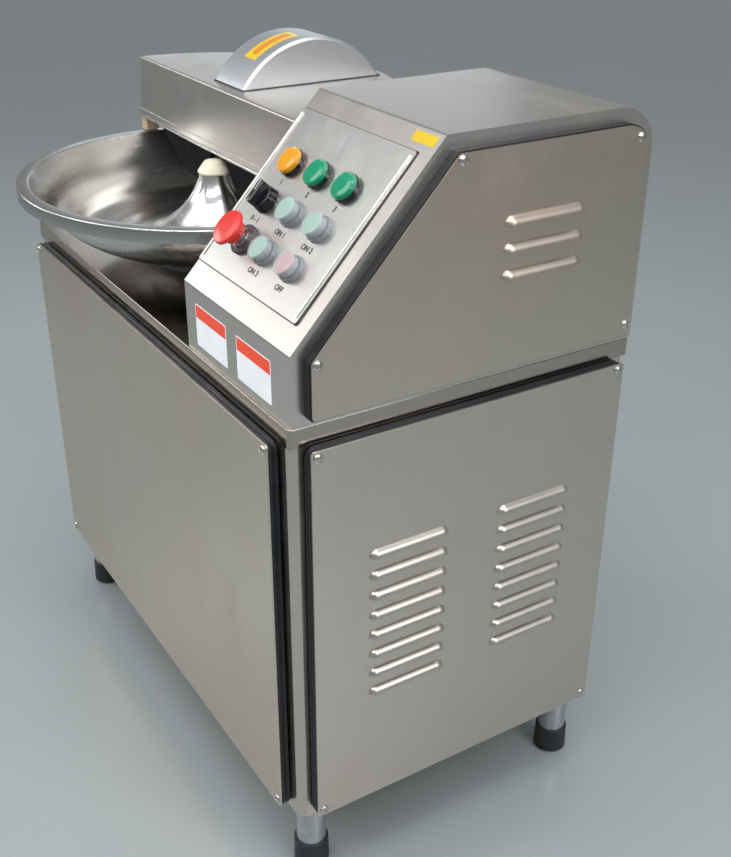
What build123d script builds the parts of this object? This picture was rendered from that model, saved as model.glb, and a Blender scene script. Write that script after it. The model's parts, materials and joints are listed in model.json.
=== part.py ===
from build123d import *
import math
import os

# Bowl cutter: a cabinet on four feet, a control housing at its right end, and a spinning
# bowl that carries meat through three sickle knives under a hinged half-round cover.
# Millimetres, +Z up. Everything is drawn with X = 0 at the cabinet's middle, Y = 0 at the
# front face of its frame and Z = 0 on the floor, and is moved to the row origin on export.

# ---- cabinet ---------------------------------------------------------------------------
CABINET_LENGTH = 770.0
CABINET_DEPTH = 447.0
DECK_HEIGHT = 628.0
LEG_HEIGHT = 104.0
DECK_THICKNESS = 3.0
SKIRT_THICKNESS = 1.5
SKIRT_HEIGHT = 22.0
SKIRT_CORNER = 5.0
POST_SIZE = 45.0
POST_WALL = 2.5
POST_BEVEL = 9.0
POST_FOOT_PLATE = 4.0
RAIL_HEIGHT = 40.0
RAIL_WIDTH = 30.0
RAIL_WALL = 2.0
TRAY_THICKNESS = 2.0
FOOT_INSET = 31.0

# ---- panels ----------------------------------------------------------------------------
PANEL_STANDOFF = 13.4          # frame face to the panel's outer face
PANEL_THICKNESS = 2.0
PANEL_TOP_GAP = 23.9           # deck top to the panel's upper edge
PANEL_BASE_GAP = 8.5           # post foot to the panel's lower edge
LONG_PANEL_INSET = 23.7        # cabinet edge to the side edge of a long panel
SIDE_PANEL_INSET = 17.4
PANEL_CORNER = 4.0
GASKET_PROUD = 1.5             # how far the seal stands out past the panel's edge
GASKET_WIDTH = 8.0
GASKET_CORNER = 12.0
SCREW_INSET = 8.0
SCREW_RADIUS = 2.5
SCREW_HEAD_RADIUS = 5.0
SCREW_HEAD_HEIGHT = 3.0
SCREW_GRIP = 5.0               # shank length past the outer wall of what it screws into
SCREW_CLEARANCE = 0.2

# ---- louvres ---------------------------------------------------------------------------
LOUVRE_LENGTH = 104.0
LOUVRE_RADIUS = 10.0
LOUVRE_SUNK = 3.0              # how far the hood's centre lies behind the panel's face
LOUVRE_WALL = 1.2
LOUVRE_ROWS = 8
LOUVRE_PITCH = 26.8
LOUVRE_TOP_DROP = 172.0        # deck top to the mouth of the upper row
LOUVRE_SPREAD = 86.0           # panel's middle to the middle of each column
POD_LOUVRE_ROWS = 3
POD_LOUVRE_PITCH = 28.5
POD_LOUVRE_TOP = 171.0         # above the deck
POD_LOUVRE_INSET = 153.0       # cabinet's rear face to the middle of the louvres

# ---- feet ------------------------------------------------------------------------------
COLLAR_RADIUS = 18.5
COLLAR_SPIGOT_RADIUS = 11.0
FOOT_RADIUS = 22.0
FOOT_HEIGHT = 38.0
FOOT_SOLE = 10.0
FOOT_EDGE = 3.0

# ---- control housing -------------------------------------------------------------------
POD_WIDTH = 242.0
POD_FRONT = 3.6
POD_LIP_HEIGHT = 78.0
POD_CREST = 178.0              # y of the fold between slope and top
POD_HEIGHT = 266.5
POD_BACK_RADIUS = 49.0
POD_SHEET = 2.0
POD_FOLD = 4.0
POD_FLANGE = 26.0
POD_PANEL_INSET = 16.0
POD_PANEL_BASE = 10.7
POD_SCREW_INSET = 7.0
PLATE_MARGIN_LEFT = 2.0
PLATE_MARGIN_RIGHT = 21.0
PLATE_LOW = 29.0               # up the slope from the front fold
PLATE_HIGH = 230.0
PLATE_THICKNESS = 2.5
PLATE_CORNER = 3.0
PLATE_RIB = 2.0

# ---- switches and lamps ----------------------------------------------------------------
CONTROL_INSET = 78.0           # cabinet's right end to the right column
CONTROL_SPACING = 56.0
CONTROL_BASE = 72.0            # front fold up the slope to the bottom row
CONTROL_PITCH = 48.0
HOLE_RADIUS = 11.2
BARREL_RADIUS = 11.0
BARREL_DEPTH = 16.0
BLOCK_SIZE = 28.0
BLOCK_DEPTH = 30.0
BEZEL_RADIUS = 16.0
BEZEL_HEIGHT = 4.0
LENS_RADIUS = 14.4
LENS_HEIGHT = 6.5
LENS_STEM_RADIUS = 8.0
COLLAR_RING_RADIUS = 15.5
COLLAR_RING_HEIGHT = 4.0
CAP_RADIUS = 13.4
CAP_WALL = 0.8
CAP_HEIGHT = 14.5
PLUNGER_RADIUS = 11.6
PLUNGER_STEM_RADIUS = 8.5
BUTTON_TRAVEL = 3.0
SELECTOR_RADIUS = 13.0
SELECTOR_STEM_RADIUS = 5.0
SELECTOR_BASE_HEIGHT = 4.0
SELECTOR_DISC_HEIGHT = 6.0
SELECTOR_BAR_WIDTH = 8.0
SELECTOR_BAR_HEIGHT = 9.0
ESTOP_BASE_RADIUS = 17.5
ESTOP_BASE_HEIGHT = 4.0
ESTOP_COLLAR_RADIUS = 12.0
ESTOP_COLLAR_HEIGHT = 8.0
ESTOP_HEAD_RADIUS = 19.5
ESTOP_NECK_RADIUS = 13.5
ESTOP_HEAD_BOTTOM = 14.0
ESTOP_HEAD_TOP = 29.5
ESTOP_RIM = 5.5                # thickness of the mushroom's disc
ESTOP_ASIDE = 8.0              # right of its column
ESTOP_STEM_RADIUS = 6.0
SLIP = 0.05                    # radial clearance of a turning or sliding fit
SNUG = 0.02                    # radial clearance of a seated fit

# ---- bowl ------------------------------------------------------------------------------
BOWL_X = -133.0
BOWL_Y = 172.0
RIM_RADIUS = 256.0
RIM_TOP = 112.0                # heights of the bowl and cover are above the deck
RIM_BAND = 17.0
BOWL_WALL = 2.5
RIM_EDGE = 2.5
TROUGH_CENTRE_RADIUS = 126.0
TROUGH_RADIUS = 112.0
TROUGH_CENTRE_HEIGHT = 141.5
TROUGH_FLARE = 33.0            # degrees below level where the trough runs out into the wall
HUB_FACE = 108.5
HUB_DISC = 6.5
HUB_BASE = 54.0
STUD_RADIUS = 8.0
PILOT_RADIUS = 14.0
SPINDLE_RADIUS = 17.5
SPINDLE_FLANGE_RADIUS = 48.0
SPINDLE_FLANGE = 8.0
STUD_LENGTH = 11.5
NUT_RADIUS = 20.5
NUT_HEIGHT = 19.0
NUT_TIP_RADIUS = 10.0
BOWL_BEARING_RADIUS = 31.0
BOWL_BEARING_WIDTH = 14.0
HOUSING_FLANGE_RADIUS = 95.0
HOUSING_FLANGE = 12.0
HOUSING_BOSS_RADIUS = 42.0
HOUSING_BOSS_TOP = 40.0
HOUSING_NECK_RADIUS = 45.0
HOUSING_NECK_DEPTH = 68.0
GEARBOX_LENGTH = 130.0
GEARBOX_WIDTH = 120.0
GEARBOX_HEIGHT = 95.0
GEARBOX_FLOOR = 5.0
WORM_OFFSET = 38.0
WORM_RADIUS = 32.0
BOWL_MOTOR_RADIUS = 50.0
BOWL_MOTOR_LENGTH = 140.0
BOWL_MOTOR_FLANGE = 10.0
BOWL_MOTOR_FLANGE_RADIUS = 60.0

# ---- knife head ------------------------------------------------------------------------
KNIFE_GAP = 4.5                # knife tip to the trough
KNIFE_RADIUS = TROUGH_RADIUS - KNIFE_GAP
KNIFE_COUNT = 3
KNIFE_HUB_RADIUS = 24.0
KNIFE_HUB_WIDTH = 10.0
KNIFE_BLADE = 4.0
KNIFE_BEVEL = 9.0
KNIFE_EDGE = 1.2
SPACER_RADIUS = 19.0
SPACER_WIDTH = 10.0
SHAFT_RADIUS = 12.5
SHAFT_COLLAR_RADIUS = 20.0
SHAFT_COLLAR = 6.0
SHAFT_END_RADIUS = 10.0
SHAFT_END_LENGTH = 17.0
KNIFE_NUT_ACROSS = 30.0
KNIFE_NUT_WIDTH = 14.0
SNOUT_RADIUS = 25.0
SNOUT_GAP = 2.0                # shaft collar to the end of the snout
BARREL_HOUSING_RADIUS = 40.0
BARREL_HOUSING_LENGTH = 121.0
BARREL_HOUSING_PROUD = 14.0    # out of the control housing's inner wall
SNOUT_CONE = 14.0
PEDESTAL_LENGTH = 90.0
PEDESTAL_WIDTH = 124.0
PEDESTAL_FOOT = 14.0
PEDESTAL_WEB = 44.0
SHAFT_BORE_RADIUS = 14.0
NOSE_BEARING_RADIUS = 21.0
NOSE_BEARING_WIDTH = 9.0
TAIL_BEARING_RADIUS = 26.0
TAIL_BEARING_WIDTH = 14.0
BEARING_SETBACK = 2.0
REST_RING_WALL = 3.6
REST_RING_LENGTH = 46.0

# ---- belt drive and main motor ---------------------------------------------------------
BELT_COUNT = 2
BELT_PITCH = 16.0
BELT_TOP = 12.0
BELT_BASE = 7.6
BELT_DEPTH = 8.0
BELT_RIDE = 3.0                # belt's back above the pitch line
BELT_CLEARANCE = 0.4
PULLEY_WIDTH = 34.0
PULLEY_RIM = 3.5               # rim above the pitch line
KNIFE_PULLEY_PITCH = 45.0
MOTOR_PULLEY_PITCH = 60.0
PULLEY_GAP = 20.0              # barrel housing to the pulley
MOTOR_AXIS_HEIGHT = 258.0
MOTOR_SHAFT_RADIUS = 14.0
MOTOR_BODY_RADIUS = 80.0
MOTOR_FIN_HEIGHT = 8.0
MOTOR_FIN_COUNT = 20
MOTOR_FIN_THICKNESS = 4.0
MOTOR_LENGTH = 250.0
MOTOR_SHIELD = 16.0
MOTOR_NOSE_GAP = 20.0
MOTOR_FOOT_LENGTH = 30.0
MOTOR_FOOT_WIDTH = 180.0
MOTOR_FOOT_THICKNESS = 14.0
FAN_COVER_LENGTH = 60.0
FAN_COVER_WALL = 2.0
FAN_HOLE_RADIUS = 6.0
FAN_HOLE_COUNT = 12
TERMINAL_BOX = (80.0, 80.0, 42.0)
MOUNT_THICKNESS = 12.0
MOUNT_MARGIN = 12.0

# ---- cover over the knives -------------------------------------------------------------
LID_FRONT = 177.0
LID_BASE = 131.0
LID_TOP = 220.0
LID_BASE_RADIUS = 263.0
LID_TOP_RADIUS = 245.0
LID_SHEET = 2.0
LID_EDGE = 3.0
LID_HEM = 12.0
LID_HEM_PROUD = 1.5
DOME_RADIUS = 119.0
DOME_WIDTH = 85.0
DOME_OFFSET = 7.5              # knife stack's middle to the hood's
DOME_CENTRE_HEIGHT = 159.0
DOME_EDGE = 4.0
DOME_MOUTH_MARGIN = 8.0
SLOT_CLEARANCE = 4.0
GUARD_THICKNESS = 6.0
GUARD_TOP = 152.0
GUARD_LOW = 82.0
GUARD_CORNER = 8.0
GUARD_NUT_GAP = 3.5            # side of the bowl's nut to the guard's inner edge
GUARD_HUB_REACH = 58.0         # bowl axis to the low corners of each guard
GUARD_LOW_REACH = 107.0
GUARD_REACH = 184.0
GUARD_SHOULDER = 5.0
BLOCK_LENGTH = 18.0
BLOCK_REACH = 17.5
BLOCK_SETBACK = 8.0            # cover's outside to the block's part inside it
HINGE_SETBACK = 1.0            # cover's rearmost point to the hinge line
HINGE_HEIGHT = 117.0
HINGE_SPREAD = 70.0
PIN_RADIUS = 6.0
PIN_LENGTH = 32.0
EAR_THICKNESS = 8.0
EAR_RADIUS = 10.0
EAR_GAP = 0.5
ARM_THICKNESS = 10.0
ARM_TOP = 168.0
HINGE_FOOT = 6.0
HINGE_FOOT_DEPTH = 40.0
HINGE_FOOT_LENGTH = 60.0

# ---- electrics -------------------------------------------------------------------------
BOARD_LENGTH = 220.0
BOARD_HEIGHT = 270.0
BOARD_INSET_LEFT = 175.0       # cabinet's left face to the board's middle
BOARD_INSET_REAR = 26.0
BOARD_FOOT = 34.0
CONTACTOR = (45.0, 66.0, 80.0)
CONTACTOR_COUNT = 3
CONTACTOR_PITCH = 62.0
CONTACTOR_RISE = 130.0
GLAND_INSET_RIGHT = 85.0
GLAND_INSET_REAR = 47.0
GLAND_WALL = 3.0
GLAND_RADIUS = 13.0
GLAND_BORE_RADIUS = 6.0
GLAND_LENGTH = 34.0
GLAND_NUT = 6.0

# ---- derived places --------------------------------------------------------------------
RIGHT = CABINET_LENGTH / 2
LEFT = -RIGHT
DECK_UNDERSIDE = DECK_HEIGHT - DECK_THICKNESS
PANEL_BASE = LEG_HEIGHT + PANEL_BASE_GAP
PANEL_TOP = DECK_HEIGHT - PANEL_TOP_GAP
TRAY_BASE = LEG_HEIGHT + RAIL_HEIGHT
TRAY_TOP = TRAY_BASE + TRAY_THICKNESS
POD_LEFT = RIGHT - POD_WIDTH
SLOPE_ANGLE = math.degrees(math.atan2(POD_HEIGHT - POD_LIP_HEIGHT, POD_CREST - POD_FRONT))
SHAFT_Y = BOWL_Y + TROUGH_CENTRE_RADIUS
SHAFT_Z = DECK_HEIGHT + TROUGH_CENTRE_HEIGHT
STACK_LENGTH = KNIFE_COUNT * (KNIFE_HUB_WIDTH + SPACER_WIDTH)
STACK_RIGHT = BOWL_X + STACK_LENGTH / 2
STACK_LEFT = BOWL_X - STACK_LENGTH / 2
SNOUT_END = STACK_RIGHT + SHAFT_COLLAR + SNOUT_GAP
BARREL_LEFT = POD_LEFT - BARREL_HOUSING_PROUD
BARREL_RIGHT = BARREL_LEFT + BARREL_HOUSING_LENGTH
PULLEY_LEFT = BARREL_RIGHT + PULLEY_GAP
PULLEY_RIGHT = PULLEY_LEFT + PULLEY_WIDTH
PULLEY_X = PULLEY_LEFT + PULLEY_WIDTH / 2
MOTOR_RIGHT = PULLEY_LEFT - MOTOR_NOSE_GAP
DOME_X = BOWL_X + DOME_OFFSET
DOME_Y = SHAFT_Y
HINGE_Y = BOWL_Y + LID_BASE_RADIUS + HINGE_SETBACK
BOARD_X = LEFT + BOARD_INSET_LEFT
BOARD_Y = CABINET_DEPTH - BOARD_INSET_REAR
GLAND_X = RIGHT - GLAND_INSET_RIGHT
GLAND_Y = CABINET_DEPTH - GLAND_INSET_REAR
GLAND_NECK = GLAND_BORE_RADIUS + GLAND_WALL
MOTOR_LEFT = MOTOR_RIGHT - MOTOR_LENGTH
SPINDLE_TOP = DECK_HEIGHT + HUB_BASE
HOUSING_BASE = DECK_HEIGHT - HOUSING_NECK_DEPTH
BOX_FRONT = BOWL_Y - RIM_RADIUS
BOX_BACK = CABINET_DEPTH + PANEL_STANDOFF + SCREW_HEAD_HEIGHT
BOX_LEFT = LEFT - PANEL_STANDOFF - SCREW_HEAD_HEIGHT
BOX_RIGHT = RIGHT + PANEL_STANDOFF + LOUVRE_RADIUS - LOUVRE_SUNK
ROW_ORIGIN_X = (BOX_LEFT + BOX_RIGHT) / 2
ROW_ORIGIN_Y = (BOX_FRONT + BOX_BACK) / 2


# ---- helpers ---------------------------------------------------------------------------
def block(x0, x1, y0, y1, z0, z1):
    """Rectangular solid between two opposite corners."""
    middle = Pos((x0 + x1) / 2, (y0 + y1) / 2, (z0 + z1) / 2)
    return middle * Box(x1 - x0, y1 - y0, z1 - z0)


def rod_x(x0, x1, y, z, radius):
    """Cylinder along X."""
    return Pos((x0 + x1) / 2, y, z) * Rot(0, 90, 0) * Cylinder(radius, x1 - x0)


def rod_y(x, y0, y1, z, radius):
    """Cylinder along Y."""
    return Pos(x, (y0 + y1) / 2, z) * Rot(90, 0, 0) * Cylinder(radius, y1 - y0)


def rod_z(x, y, z0, z1, radius):
    """Cylinder along Z."""
    return Pos(x, y, (z0 + z1) / 2) * Cylinder(radius, z1 - z0)


def broken_corners(points, cuts):
    """Outline with a flat in place of each corner that has a cut, cut back by that much both ways."""
    outline = []
    for index, (corner, cut) in enumerate(zip(points, cuts)):
        ends = (points[index - 1], points[(index + 1) % len(points)]) if cut else ()
        for end in ends:
            share = cut / math.dist(corner, end)
            outline.append((corner[0] + (end[0] - corner[0]) * share, corner[1] + (end[1] - corner[1]) * share))
        if not cut:
            outline.append(corner)
    return outline


def turned(points, cuts=None):
    """Solid of revolution about Z from an (r, z) outline; cuts breaks its corners."""
    if cuts:
        points = broken_corners(points, cuts)
    return revolve(Plane.XZ * make_face(Polyline(*points, close=True)), Axis.Z)


def ring_x(x0, x1, y, z, outer, inner):
    """Tube along X."""
    return rod_x(x0, x1, y, z, outer) - rod_x(x0 - 1, x1 + 1, y, z, inner)


def group(solids):
    """Several separate solids kept together in one node."""
    return Compound(children=[solid for solid in solids])


def mirrored(value):
    """The two signed copies of a half distance."""
    return (-value, value)


# ---- cabinet ---------------------------------------------------------------------------
def corner_signs():
    """Left or right and front or rear of each cabinet corner."""
    return [(sx, sy) for sx in (-1, 1) for sy in (-1, 1)]


def corner_xy(sx, sy, inset):
    """Point in plan that lies inset from both faces of one cabinet corner."""
    x = sx * (RIGHT - inset)
    y = CABINET_DEPTH / 2 + sy * (CABINET_DEPTH / 2 - inset)
    return x, y


def make_corner_posts():
    """Four square tubes, bevelled at the outer corner and closed by a foot plate."""
    posts = []
    for sx, sy in corner_signs():
        x, y = corner_xy(sx, sy, SKIRT_THICKNESS + POST_SIZE / 2)
        height = DECK_UNDERSIDE - LEG_HEIGHT
        post = Pos(x, y, LEG_HEIGHT + height / 2) * Box(POST_SIZE, POST_SIZE, height)
        outer = post.edges().filter_by(Axis.Z).sort_by(Axis.X)
        near = [edge for edge in outer if (edge.center().X - x) * sx > 0]
        near = [edge for edge in near if (edge.center().Y - y) * sy > 0]
        post = chamfer(near, POST_BEVEL)
        bore = POST_SIZE - 2 * POST_WALL
        hollow = Pos(x, y, LEG_HEIGHT + POST_FOOT_PLATE + height / 2) * Box(bore, bore, height)
        cut = hollow.edges().filter_by(Axis.Z)
        cut = [edge for edge in cut if (edge.center().X - x) * sx > 0]
        cut = [edge for edge in cut if (edge.center().Y - y) * sy > 0]
        post -= chamfer(cut, POST_BEVEL)
        for place, axis in panel_screw_places():
            if abs(place[0] - x) < POST_SIZE and abs(place[1] - y) < POST_SIZE:
                post -= screw_hole(place, axis)
        posts.append(post)
    return group(posts)


def make_frame_rails():
    """Upper and lower rectangular tubes between the posts."""
    rails = []
    near_x = RIGHT - SKIRT_THICKNESS
    post_x = near_x - POST_SIZE
    for z0 in (LEG_HEIGHT, DECK_UNDERSIDE - RAIL_HEIGHT):
        z1 = z0 + RAIL_HEIGHT
        for y0 in (SKIRT_THICKNESS, CABINET_DEPTH - SKIRT_THICKNESS - RAIL_WIDTH):
            y1 = y0 + RAIL_WIDTH
            rail = block(-post_x, post_x, y0, y1, z0, z1)
            rail -= block(-near_x, near_x, y0 + RAIL_WALL, y1 - RAIL_WALL, z0 + RAIL_WALL, z1 - RAIL_WALL)
            rails.append(rail)
        for sign in (-1, 1):
            x0, x1 = sorted((sign * (near_x - RAIL_WIDTH), sign * near_x))
            y0 = SKIRT_THICKNESS + POST_SIZE
            y1 = CABINET_DEPTH - y0
            rail = block(x0, x1, y0, y1, z0, z1)
            rail -= block(x0 + RAIL_WALL, x1 - RAIL_WALL, 0, CABINET_DEPTH, z0 + RAIL_WALL, z1 - RAIL_WALL)
            rails.append(rail)
    return group(rails)


def make_base_tray():
    """Floor sheet that lies on the lower rails, notched round the posts."""
    inset = SKIRT_THICKNESS + RAIL_WALL
    tray = block(LEFT + inset, RIGHT - inset, inset, CABINET_DEPTH - inset, TRAY_BASE, TRAY_TOP)
    notch = POST_SIZE + 1
    for sx, sy in corner_signs():
        x, y = corner_xy(sx, sy, SKIRT_THICKNESS + POST_SIZE / 2)
        tray -= Pos(x, y, TRAY_TOP) * Box(notch, notch, 4 * TRAY_THICKNESS)
    tray -= rod_z(GLAND_X, GLAND_Y, TRAY_BASE - 1, TRAY_TOP + 1, GLAND_NECK + SNUG)
    return tray


def make_deck_plate():
    """Top sheet with a folded skirt, a hole for the bowl bearing and a slot for the belts."""
    size = (CABINET_LENGTH, CABINET_DEPTH)
    deck = Pos(0, CABINET_DEPTH / 2, DECK_HEIGHT - SKIRT_HEIGHT / 2) * Box(*size, SKIRT_HEIGHT)
    deck = fillet(deck.edges().filter_by(Axis.Z), SKIRT_CORNER)
    deck = fillet(deck.faces().sort_by(Axis.Z)[-1].edges(), SKIRT_THICKNESS)
    depth = SKIRT_HEIGHT - DECK_THICKNESS
    hollow = Pos(0, CABINET_DEPTH / 2, DECK_UNDERSIDE - depth)
    hollow *= Box(size[0] - 2 * SKIRT_THICKNESS, size[1] - 2 * SKIRT_THICKNESS, 2 * depth)
    deck -= fillet(hollow.edges().filter_by(Axis.Z), SKIRT_CORNER - SKIRT_THICKNESS)
    deck -= rod_z(BOWL_X, BOWL_Y, DECK_UNDERSIDE - 1, DECK_HEIGHT + 1, HOUSING_NECK_RADIUS + SNUG)
    reach = MOTOR_PULLEY_PITCH + BELT_DEPTH
    slot = block(PULLEY_LEFT, PULLEY_RIGHT, SHAFT_Y - reach, SHAFT_Y + reach,
                 DECK_UNDERSIDE - 1, DECK_HEIGHT + 1)
    return deck - fillet(slot.edges().filter_by(Axis.Z), PLATE_CORNER)


# ---- panels ----------------------------------------------------------------------------
def panel_frames():
    """Outer face plane, width and height of the four cabinet panels.

    Each plane looks outward and its origin is the middle of the panel's outer face.
    """
    middle_z = (PANEL_BASE + PANEL_TOP) / 2
    middle_y = CABINET_DEPTH / 2
    long_width = CABINET_LENGTH - 2 * LONG_PANEL_INSET
    side_width = CABINET_DEPTH - 2 * SIDE_PANEL_INSET
    out = PANEL_STANDOFF
    return {
        "front": (Plane((0, -out, middle_z), x_dir=(1, 0, 0), z_dir=(0, -1, 0)), long_width),
        "rear": (Plane((0, CABINET_DEPTH + out, middle_z), x_dir=(-1, 0, 0), z_dir=(0, 1, 0)), long_width),
        "left": (Plane((LEFT - out, middle_y, middle_z), x_dir=(0, -1, 0), z_dir=(-1, 0, 0)), side_width),
        "right": (Plane((RIGHT + out, middle_y, middle_z), x_dir=(0, 1, 0), z_dir=(1, 0, 0)), side_width),
    }


def panel_height():
    """Height of every cabinet panel."""
    return PANEL_TOP - PANEL_BASE


def panel_screw_places():
    """Point on the panel's outer face and outward direction of each cabinet panel screw."""
    places = []
    for plane, width in panel_frames().values():
        for u in mirrored(width / 2 - SCREW_INSET):
            for v in mirrored(panel_height() / 2 - SCREW_INSET):
                point = plane.from_local_coords((u, v, 0))
                places.append(((point.X, point.Y, point.Z), tuple(plane.z_dir)))
    return places


def pod_screw_places():
    """The same for the four screws of the control housing's side panel."""
    inset = POD_PANEL_INSET + POD_SCREW_INSET
    corners = pod_corners(inset, POD_PANEL_BASE + 2 * POD_SCREW_INSET)
    low_back = corners[-1]
    front_fold = corners[1]
    crest = corners[2]
    back = (CABINET_DEPTH - inset - POD_SCREW_INSET, POD_HEIGHT - inset - POD_SCREW_INSET)
    points = (front_fold, crest, back, low_back)
    return [((RIGHT + PANEL_STANDOFF, y, DECK_HEIGHT + z), (1, 0, 0)) for y, z in points]


def screw_shape():
    """Domed screw that points down, with its head's underside at the origin."""
    head = turned([(0, 0), (SCREW_HEAD_RADIUS, 0), (SCREW_HEAD_RADIUS * 0.72, SCREW_HEAD_HEIGHT * 0.75),
                   (SCREW_HEAD_RADIUS * 0.3, SCREW_HEAD_HEIGHT), (0, SCREW_HEAD_HEIGHT)])
    length = PANEL_STANDOFF + SKIRT_THICKNESS + SCREW_GRIP
    return head + Pos(0, 0, -length / 2) * Cylinder(SCREW_RADIUS, length)


def screw_hole(place, axis):
    """Clearance cylinder of one screw through everything under its head."""
    length = 2 * (PANEL_STANDOFF + SKIRT_THICKNESS + SCREW_GRIP + 1)
    return Plane(place, z_dir=axis) * Cylinder(SCREW_RADIUS + SCREW_CLEARANCE, length)


def make_panel_screws():
    """All domed screws that hold the five panels."""
    places = panel_screw_places() + pod_screw_places()
    return group([Plane(place, z_dir=axis) * screw_shape() for place, axis in places])


def plain_panel(name):
    """Flat panel with rounded corners and its four screw holes."""
    plane, width = panel_frames()[name]
    sheet = RectangleRounded(width, panel_height(), PANEL_CORNER)
    panel = extrude(plane * sheet, -PANEL_THICKNESS)
    for place, axis in panel_screw_places():
        if tuple(plane.z_dir) == axis:
            panel -= screw_hole(place, axis)
    return panel


def louvre_hood(radius, length):
    """Upper half of a capsule that lies along Y."""
    straight = length - 2 * radius
    hood = Rot(90, 0, 0) * Cylinder(radius, straight)
    for y in mirrored(straight / 2):
        hood += Pos(0, y, 0) * Sphere(radius)
    return hood & Pos(0, 0, radius) * Box(4 * radius, 2 * length, 2 * radius)


def with_louvres(panel, places):
    """Panel facing +X with raised louvres, open downward, whose mouths are at (y, z)."""
    x = RIGHT + PANEL_STANDOFF - LOUVRE_SUNK
    outside = block(x + LOUVRE_SUNK - PANEL_THICKNESS, x + 4 * LOUVRE_RADIUS,
                    0, CABINET_DEPTH, 0, DECK_HEIGHT + POD_HEIGHT)
    shell = louvre_hood(LOUVRE_RADIUS, LOUVRE_LENGTH)
    hollow = louvre_hood(LOUVRE_RADIUS - LOUVRE_WALL, LOUVRE_LENGTH - 2 * LOUVRE_WALL)
    for y, z in places:
        panel += (Pos(x, y, z) * shell) & outside
        panel -= Pos(x, y, z) * hollow
    return panel


def make_front_panel():
    """Plain long panel under the bowl."""
    return plain_panel("front")


def make_rear_panel():
    """Plain long panel at the back."""
    return plain_panel("rear")


def make_left_panel():
    """Plain end panel."""
    return plain_panel("left")


def make_right_panel():
    """End panel with two columns of louvres beside the main motor."""
    top = DECK_HEIGHT - LOUVRE_TOP_DROP
    columns = [CABINET_DEPTH / 2 + side for side in mirrored(LOUVRE_SPREAD)]
    places = [(y, top - row * LOUVRE_PITCH) for y in columns for row in range(LOUVRE_ROWS)]
    return with_louvres(plain_panel("right"), places)


def make_panel_gaskets():
    """Rubber seal frames between the cabinet and its four panels."""
    gaskets = []
    depth = PANEL_STANDOFF - PANEL_THICKNESS
    height = panel_height() + 2 * GASKET_PROUD
    inner_gap = 2 * GASKET_WIDTH
    for plane, panel_width in panel_frames().values():
        width = panel_width + 2 * GASKET_PROUD
        outer = RectangleRounded(width, height, GASKET_CORNER)
        inner = RectangleRounded(width - inner_gap, height - inner_gap, PANEL_CORNER)
        back = Plane(plane.origin - plane.z_dir * PANEL_THICKNESS, x_dir=plane.x_dir, z_dir=plane.z_dir)
        gasket = extrude(back * (outer - inner), -depth)
        for place, axis in panel_screw_places():
            if tuple(plane.z_dir) == axis:
                gasket -= screw_hole(place, axis)
        gaskets.append(gasket)
    return group(gaskets)


# ---- feet ------------------------------------------------------------------------------
def make_leg_collars():
    """Steel legs under the posts, each with a spigot for its rubber foot."""
    collars = []
    for sx, sy in corner_signs():
        x, y = corner_xy(sx, sy, FOOT_INSET)
        leg = turned([(0, FOOT_SOLE), (COLLAR_SPIGOT_RADIUS, FOOT_SOLE), (COLLAR_SPIGOT_RADIUS, FOOT_HEIGHT),
                      (COLLAR_RADIUS, FOOT_HEIGHT), (COLLAR_RADIUS, LEG_HEIGHT), (0, LEG_HEIGHT)])
        collars.append(Pos(x, y, 0) * leg)
    return group(collars)


def make_rubber_feet():
    """Black rubber shoes pushed onto the spigots."""
    feet = []
    bore = COLLAR_SPIGOT_RADIUS + SNUG
    outline = [(0, 0), (FOOT_RADIUS, 0), (FOOT_RADIUS - 1, FOOT_HEIGHT), (bore, FOOT_HEIGHT),
               (bore, FOOT_SOLE), (0, FOOT_SOLE)]
    for sx, sy in corner_signs():
        x, y = corner_xy(sx, sy, FOOT_INSET)
        feet.append(Pos(x, y, 0) * turned(outline, [0, FOOT_EDGE, FOOT_EDGE / 2, 0, 0, 0]))
    return group(feet)


# ---- control housing -------------------------------------------------------------------
def pod_corners(inset, base):
    """Side outline corners (y, height above the deck) of the housing, shrunk by inset."""
    rise = POD_HEIGHT - POD_LIP_HEIGHT
    run = POD_CREST - POD_FRONT
    steep = rise / run
    drop = inset * math.hypot(1, steep)
    top = POD_HEIGHT - inset
    front = POD_FRONT + inset
    back = CABINET_DEPTH - inset
    fold = POD_LIP_HEIGHT + steep * inset - drop
    crest = POD_FRONT + (top - POD_LIP_HEIGHT + drop) / steep
    return [(front, base), (front, fold), (crest, top), (back, top), (back, base)]


def pod_face(inset, base):
    """Face of the side outline with its folds rounded, in the plane X = 0."""
    corners = [(y, DECK_HEIGHT + z) for y, z in pod_corners(inset, base)]
    back_radius = max(POD_BACK_RADIUS - inset, POD_FOLD)
    radii = [0 if inset < POD_FLANGE / 2 else POD_FOLD, POD_FOLD, POD_FOLD, back_radius,
             0 if inset < POD_FLANGE / 2 else POD_FOLD]
    return Plane.YZ * make_face(FilletPolyline(*corners, radius=radii, close=True))


def pod_prism(inset, base, x0, x1):
    """Solid of the side outline between two X planes."""
    return extrude(Pos(x0, 0, 0) * pod_face(inset, base), x1 - x0)


def slope_place(x, up, height=0.0):
    """Location on the sloping face: X, distance up the slope, height above its surface."""
    origin = (0, POD_FRONT, DECK_HEIGHT + POD_LIP_HEIGHT)
    angle = math.radians(SLOPE_ANGLE)
    normal = (0, -math.sin(angle), math.cos(angle))
    plane = Plane(origin, x_dir=(1, 0, 0), z_dir=normal)
    return plane.location * Pos(x, up, height)


def control_place(column, row, aside=0.0):
    """Location of one switch or lamp on the control plate's upper surface."""
    x = RIGHT + aside - CONTROL_INSET - ("right", "middle", "left").index(column) * CONTROL_SPACING
    up = CONTROL_BASE + ("bottom", "centre", "top").index(row) * CONTROL_PITCH
    return slope_place(x, up, PLATE_THICKNESS)


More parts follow.
